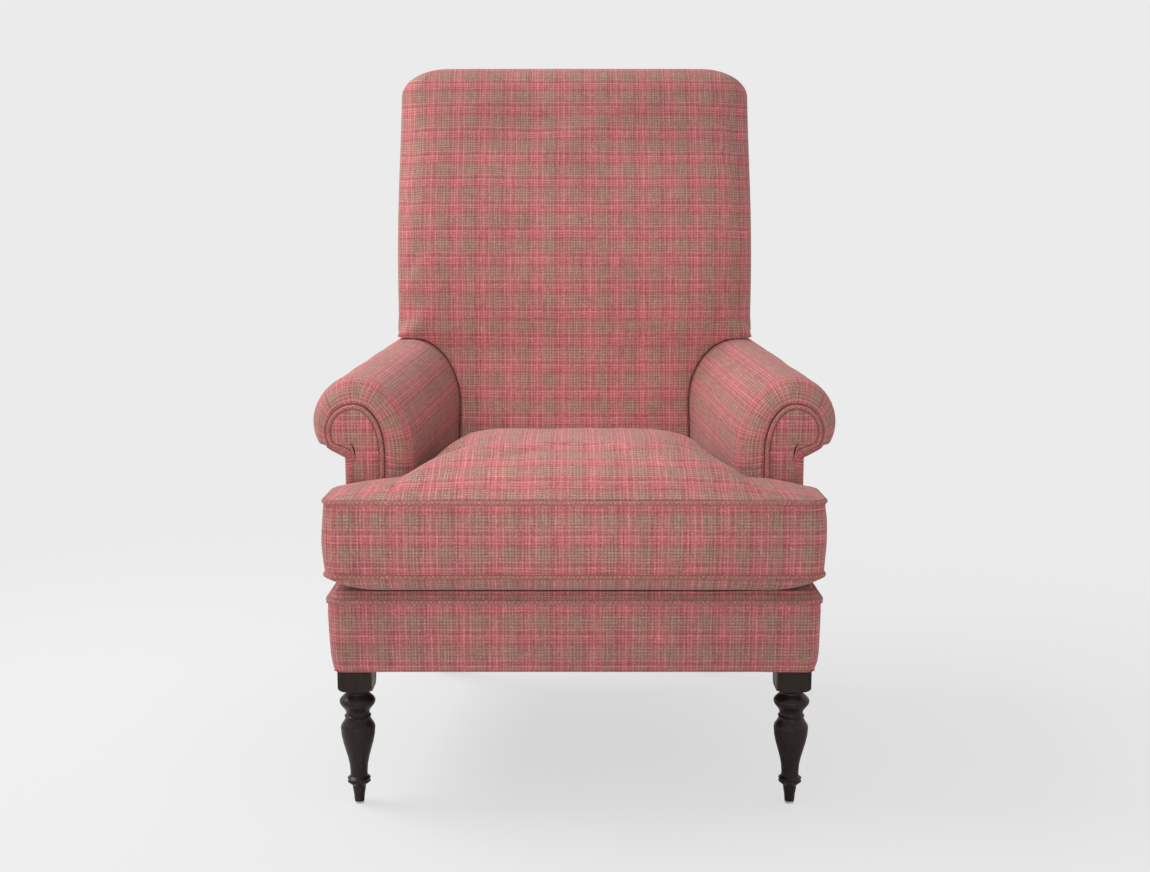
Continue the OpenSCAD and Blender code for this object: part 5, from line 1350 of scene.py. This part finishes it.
def make_stage():
    s = bpy.context.scene.chair_studio
    back = tuple(s.background) + (1.0,)
    mesh = bpy.data.meshes.new("floor")
    reach = 14.0
    mesh.from_pydata([(x * reach, y * reach, 0) for x, y in ((-1, -1), (1, -1), (1, 1), (-1, 1))], [],
                     [(0, 1, 2, 3)])
    floor = link(bpy.data.objects.new("floor", mesh))
    f = Finish("pale floor", Roughness=0.9, Specular_IOR_Level=0.1)
    f.shader.inputs["Base Color"].default_value = tuple(s.floor) + (1.0,)
    at = f.node("ShaderNodeTexCoord", out="Object")
    x, y = f.part(at, 0), f.part(at, 1)
    # The floor glows like the background, most of all away from the chair, and keeps a soft shadow
    away = f.range(f.reach(x, y), 0.75, 1.9, s.glow, 1.0)
    path = f.node("ShaderNodeLightPath", out=0)
    glow = f.tree.nodes.new("ShaderNodeEmission")
    glow.inputs[0].default_value = back
    mixed = f.tree.nodes.new("ShaderNodeMixShader")
    f.tree.links.new((path * away).socket, mixed.inputs[0])
    f.tree.links.new(f.shader.outputs[0], mixed.inputs[1])
    f.tree.links.new(glow.outputs[0], mixed.inputs[2])
    f.tree.links.new(mixed.outputs[0], f.output.inputs[0])
    mesh.materials.append(f.material)

    world = bpy.data.worlds.new("studio")
    bpy.context.scene.world = world
    world.use_nodes = True
    tree = world.node_tree
    tree.nodes.clear()
    out, fill, seen, mix, light = (tree.nodes.new(k) for k in (
        "ShaderNodeOutputWorld", "ShaderNodeBackground", "ShaderNodeBackground", "ShaderNodeMixShader",
        "ShaderNodeLightPath"))
    fill.inputs[0].default_value, fill.inputs[1].default_value = (1, 1, 1, 1), s.fill
    seen.inputs[0].default_value = back
    either = tree.nodes.new("ShaderNodeMath")
    either.operation = "MAXIMUM"
    tree.links.new(light.outputs["Is Camera Ray"], either.inputs[0])
    tree.links.new(light.outputs["Is Glossy Ray"], either.inputs[1])
    tree.links.new(either.outputs[0], mix.inputs[0])
    tree.links.new(fill.outputs[0], mix.inputs[1])
    tree.links.new(seen.outputs[0], mix.inputs[2])
    tree.links.new(mix.outputs[0], out.inputs[0])

    def lamp(name, at, target, size, power, spread=180):
        data = bpy.data.lights.new(name, "AREA")
        data.shape, data.size, data.size_y, data.energy = "RECTANGLE", size[0], size[1], power
        data.spread = math.radians(spread)
        obj = link(bpy.data.objects.new(name, data))
        obj.location = at
        obj.rotation_euler = (Vector(target) - Vector(at)).to_track_quat("-Z", "Y").to_euler()

    lamp("upper left softbox", (-2.0, 0.2, 2.6), (0, 0, 0.5), (1.6, 1.6), s.key)
    lamp("low front softbox", (0.0, -3.8, 0.7), (0, 0, 0.5), (3.0, 1.2), s.front)
    lamp("seat light", (-0.4, -2.4, 1.2), (0, 0.12, 0.56), (0.5, 0.5), s.seat, 22)
    camera = bpy.data.cameras.new("camera")
    camera.sensor_width, camera.lens = SENSOR_MM, FOCAL / PICTURE_W * SENSOR_MM
    camera.shift_x = SHIFT / PICTURE_W
    view = link(bpy.data.objects.new("camera", camera))
    view.location = (0, -CHAIR_D / 2 * MM - CAMERA_GAP, CAMERA_Z)
    view.rotation_euler = (math.radians(90 - CAMERA_TILT), 0, 0)
    scene = bpy.context.scene
    scene.camera = view
    scene.view_settings.view_transform = "Standard"


# Settings

def colour(name, description, value):
    return bpy.props.FloatVectorProperty(name=name, description=description, subtype="COLOR", default=value,
                                         min=0, max=1)


def amount(name, description, default, unit="NONE", least=0.0, **limits):
    return bpy.props.FloatProperty(name=name, description=description, default=default, min=least, unit=unit,
                                   **limits)


class PlaidSettings(bpy.types.PropertyGroup):
    repeat: amount("Repeat", "Length after which the plaid repeats", 0.0452, "LENGTH", 0.01)
    pink: colour("Pink", "Colour of the wide pink bands", linear((186, 102, 106))[:3])
    line: colour("Line", "Colour of the thin dark lines", linear((150, 82, 88))[:3])
    taupe: colour("Taupe", "Colour of the wide taupe bands", linear((152, 120, 104))[:3])
    slub: colour("Slub", "Colour of the pale thick yarn", linear((198, 138, 130))[:3])


class PaddingSettings(bpy.types.PropertyGroup):
    crown: amount("Crown", "Rise of the seat cushion above its upper piping", CROWN_H * MM, "LENGTH", 0.04,
                  max=0.075)
    side_bulge: amount("Side bulge", "How far the cushion's sides swell", 0.003, "LENGTH", max=0.008)
    pressure: amount("Pressure", "Pressure that swells the stuffed covers", 4.0, max=8)
    swell: amount("Cushion swell", "Most that the cushion's cloth may move", 0.005, "LENGTH", max=0.02)
    back_swell: amount("Back swell", "Most that the back's cloth may move", 0.004, "LENGTH", max=0.02)


class StudioSettings(bpy.types.PropertyGroup):
    background: colour("Background", "Colour behind the chair", linear((235, 235, 235))[:3])
    floor: colour("Floor", "Colour of the floor", (0.80, 0.80, 0.80))
    glow: amount("Floor glow", "How much of the floor's shadow is lifted", 0.75, max=1)
    key: amount("Key light", "Power of the upper left softbox", 65.0)
    front: amount("Front light", "Power of the low front softbox", 9.0)
    seat: amount("Seat light", "Power of the narrow light on the seat", 0.6)
    fill: amount("Fill light", "Strength of the light from all round", 0.68)


# Operators

def both(maker, stem, tail):
    for side, tag in SIDES.items():
        maker(side, f"{stem}_{tag}_{tail}")


class CHAIR_OT_cushion(bpy.types.Operator):
    """Make the loose seat cushion with its piping, foam and zip"""
    bl_idname, bl_label = "chair.cushion", "Seat Cushion"

    def execute(self, context):
        make_cushion()
        return {"FINISHED"}


class CHAIR_OT_front_border(bpy.types.Operator):
    """Make the padded border under the cushion with its piping"""
    bl_idname, bl_label = "chair.front_border", "Front Border"

    def execute(self, context):
        make_front_border()
        return {"FINISHED"}


class CHAIR_OT_arms(bpy.types.Operator):
    """Make the two scroll arms' upholstery"""
    bl_idname, bl_label = "chair.arms", "Scroll Arms"

    def execute(self, context):
        both(make_arm, "arm", "cloth")
        return {"FINISHED"}


class CHAIR_OT_facings(bpy.types.Operator):
    """Make the arms' keyhole facings with their piping"""
    bl_idname, bl_label = "chair.facings", "Arm Facings"

    def execute(self, context):
        both(make_facing, "facing", "cloth")
        return {"FINISHED"}


class CHAIR_OT_outside_arms(bpy.types.Operator):
    """Make the cloth panels outside the arms"""
    bl_idname, bl_label = "chair.outside_arms", "Outside Arms"

    def execute(self, context):
        both(make_outside_arm, "outside_arm", "cloth")
        return {"FINISHED"}


class CHAIR_OT_inside_back(bpy.types.Operator):
    """Make the padded inside back and its foam"""
    bl_idname, bl_label = "chair.inside_back", "Inside Back"

    def execute(self, context):
        make_inside_back()
        return {"FINISHED"}


class CHAIR_OT_outside_back(bpy.types.Operator):
    """Make the outside back with its hand stitches"""
    bl_idname, bl_label = "chair.outside_back", "Outside Back"

    def execute(self, context):
        make_outside_back()
        return {"FINISHED"}


class CHAIR_OT_seat(bpy.types.Operator):
    """Make the deck, the webbing, the arms' linings and the dust cloth"""
    bl_idname, bl_label = "chair.seat", "Deck and Webbing"

    def execute(self, context):
        make_deck()
        make_webbing()
        make_linings()
        return {"FINISHED"}


class CHAIR_OT_woodwork(bpy.types.Operator):
    """Give the legs and the frame their wood"""
    bl_idname, bl_label = "chair.woodwork", "Woodwork"

    def execute(self, context):
        paint_nodes(("leg", "beech_x", "beech_y", "beech_z"))
        return {"FINISHED"}


class CHAIR_OT_hardware(bpy.types.Operator):
    """Give screws, bolts, staples, glides and slider their finish"""
    bl_idname, bl_label = "chair.hardware", "Hardware"

    def execute(self, context):
        paint_nodes(("steel", "nylon"))
        return {"FINISHED"}


class CHAIR_OT_stage(bpy.types.Operator):
    """Make the floor, the lights and the camera"""
    bl_idname, bl_label = "chair.stage", "Stage"

    def execute(self, context):
        make_stage()
        return {"FINISHED"}


OPERATORS = (CHAIR_OT_cushion, CHAIR_OT_front_border, CHAIR_OT_arms, CHAIR_OT_facings, CHAIR_OT_outside_arms,
             CHAIR_OT_inside_back, CHAIR_OT_outside_back, CHAIR_OT_seat, CHAIR_OT_woodwork, CHAIR_OT_hardware,
             CHAIR_OT_stage)


class CHAIR_PT_pieces(bpy.types.Panel):
    """The chair's sizes, colours and pieces"""
    bl_idname, bl_label = "CHAIR_PT_pieces", "Fireside Chair"
    bl_space_type, bl_region_type, bl_category = "VIEW_3D", "UI", "Chair"

    def draw(self, context):
        for group in ("chair_plaid", "chair_padding", "chair_studio"):
            settings = getattr(context.scene, group)
            for name in settings.__annotations__:
                self.layout.prop(settings, name)
        for operator in OPERATORS:
            self.layout.operator(operator.bl_idname)


GROUPS = {"chair_plaid": PlaidSettings, "chair_padding": PaddingSettings, "chair_studio": StudioSettings}


def register():
    for cls in (*GROUPS.values(), *OPERATORS, CHAIR_PT_pieces):
        bpy.utils.register_class(cls)
    for name, cls in GROUPS.items():
        setattr(bpy.types.Scene, name, bpy.props.PointerProperty(type=cls))


def unregister():
    for name in GROUPS:
        delattr(bpy.types.Scene, name)
    for cls in (CHAIR_PT_pieces, *reversed(OPERATORS), *reversed(GROUPS.values())):
        bpy.utils.unregister_class(cls)


def main():
    register()
    for operator in OPERATORS:
        getattr(bpy.ops.chair, operator.bl_idname.split(".")[1])()
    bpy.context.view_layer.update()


if __name__ == "__main__":
    main()
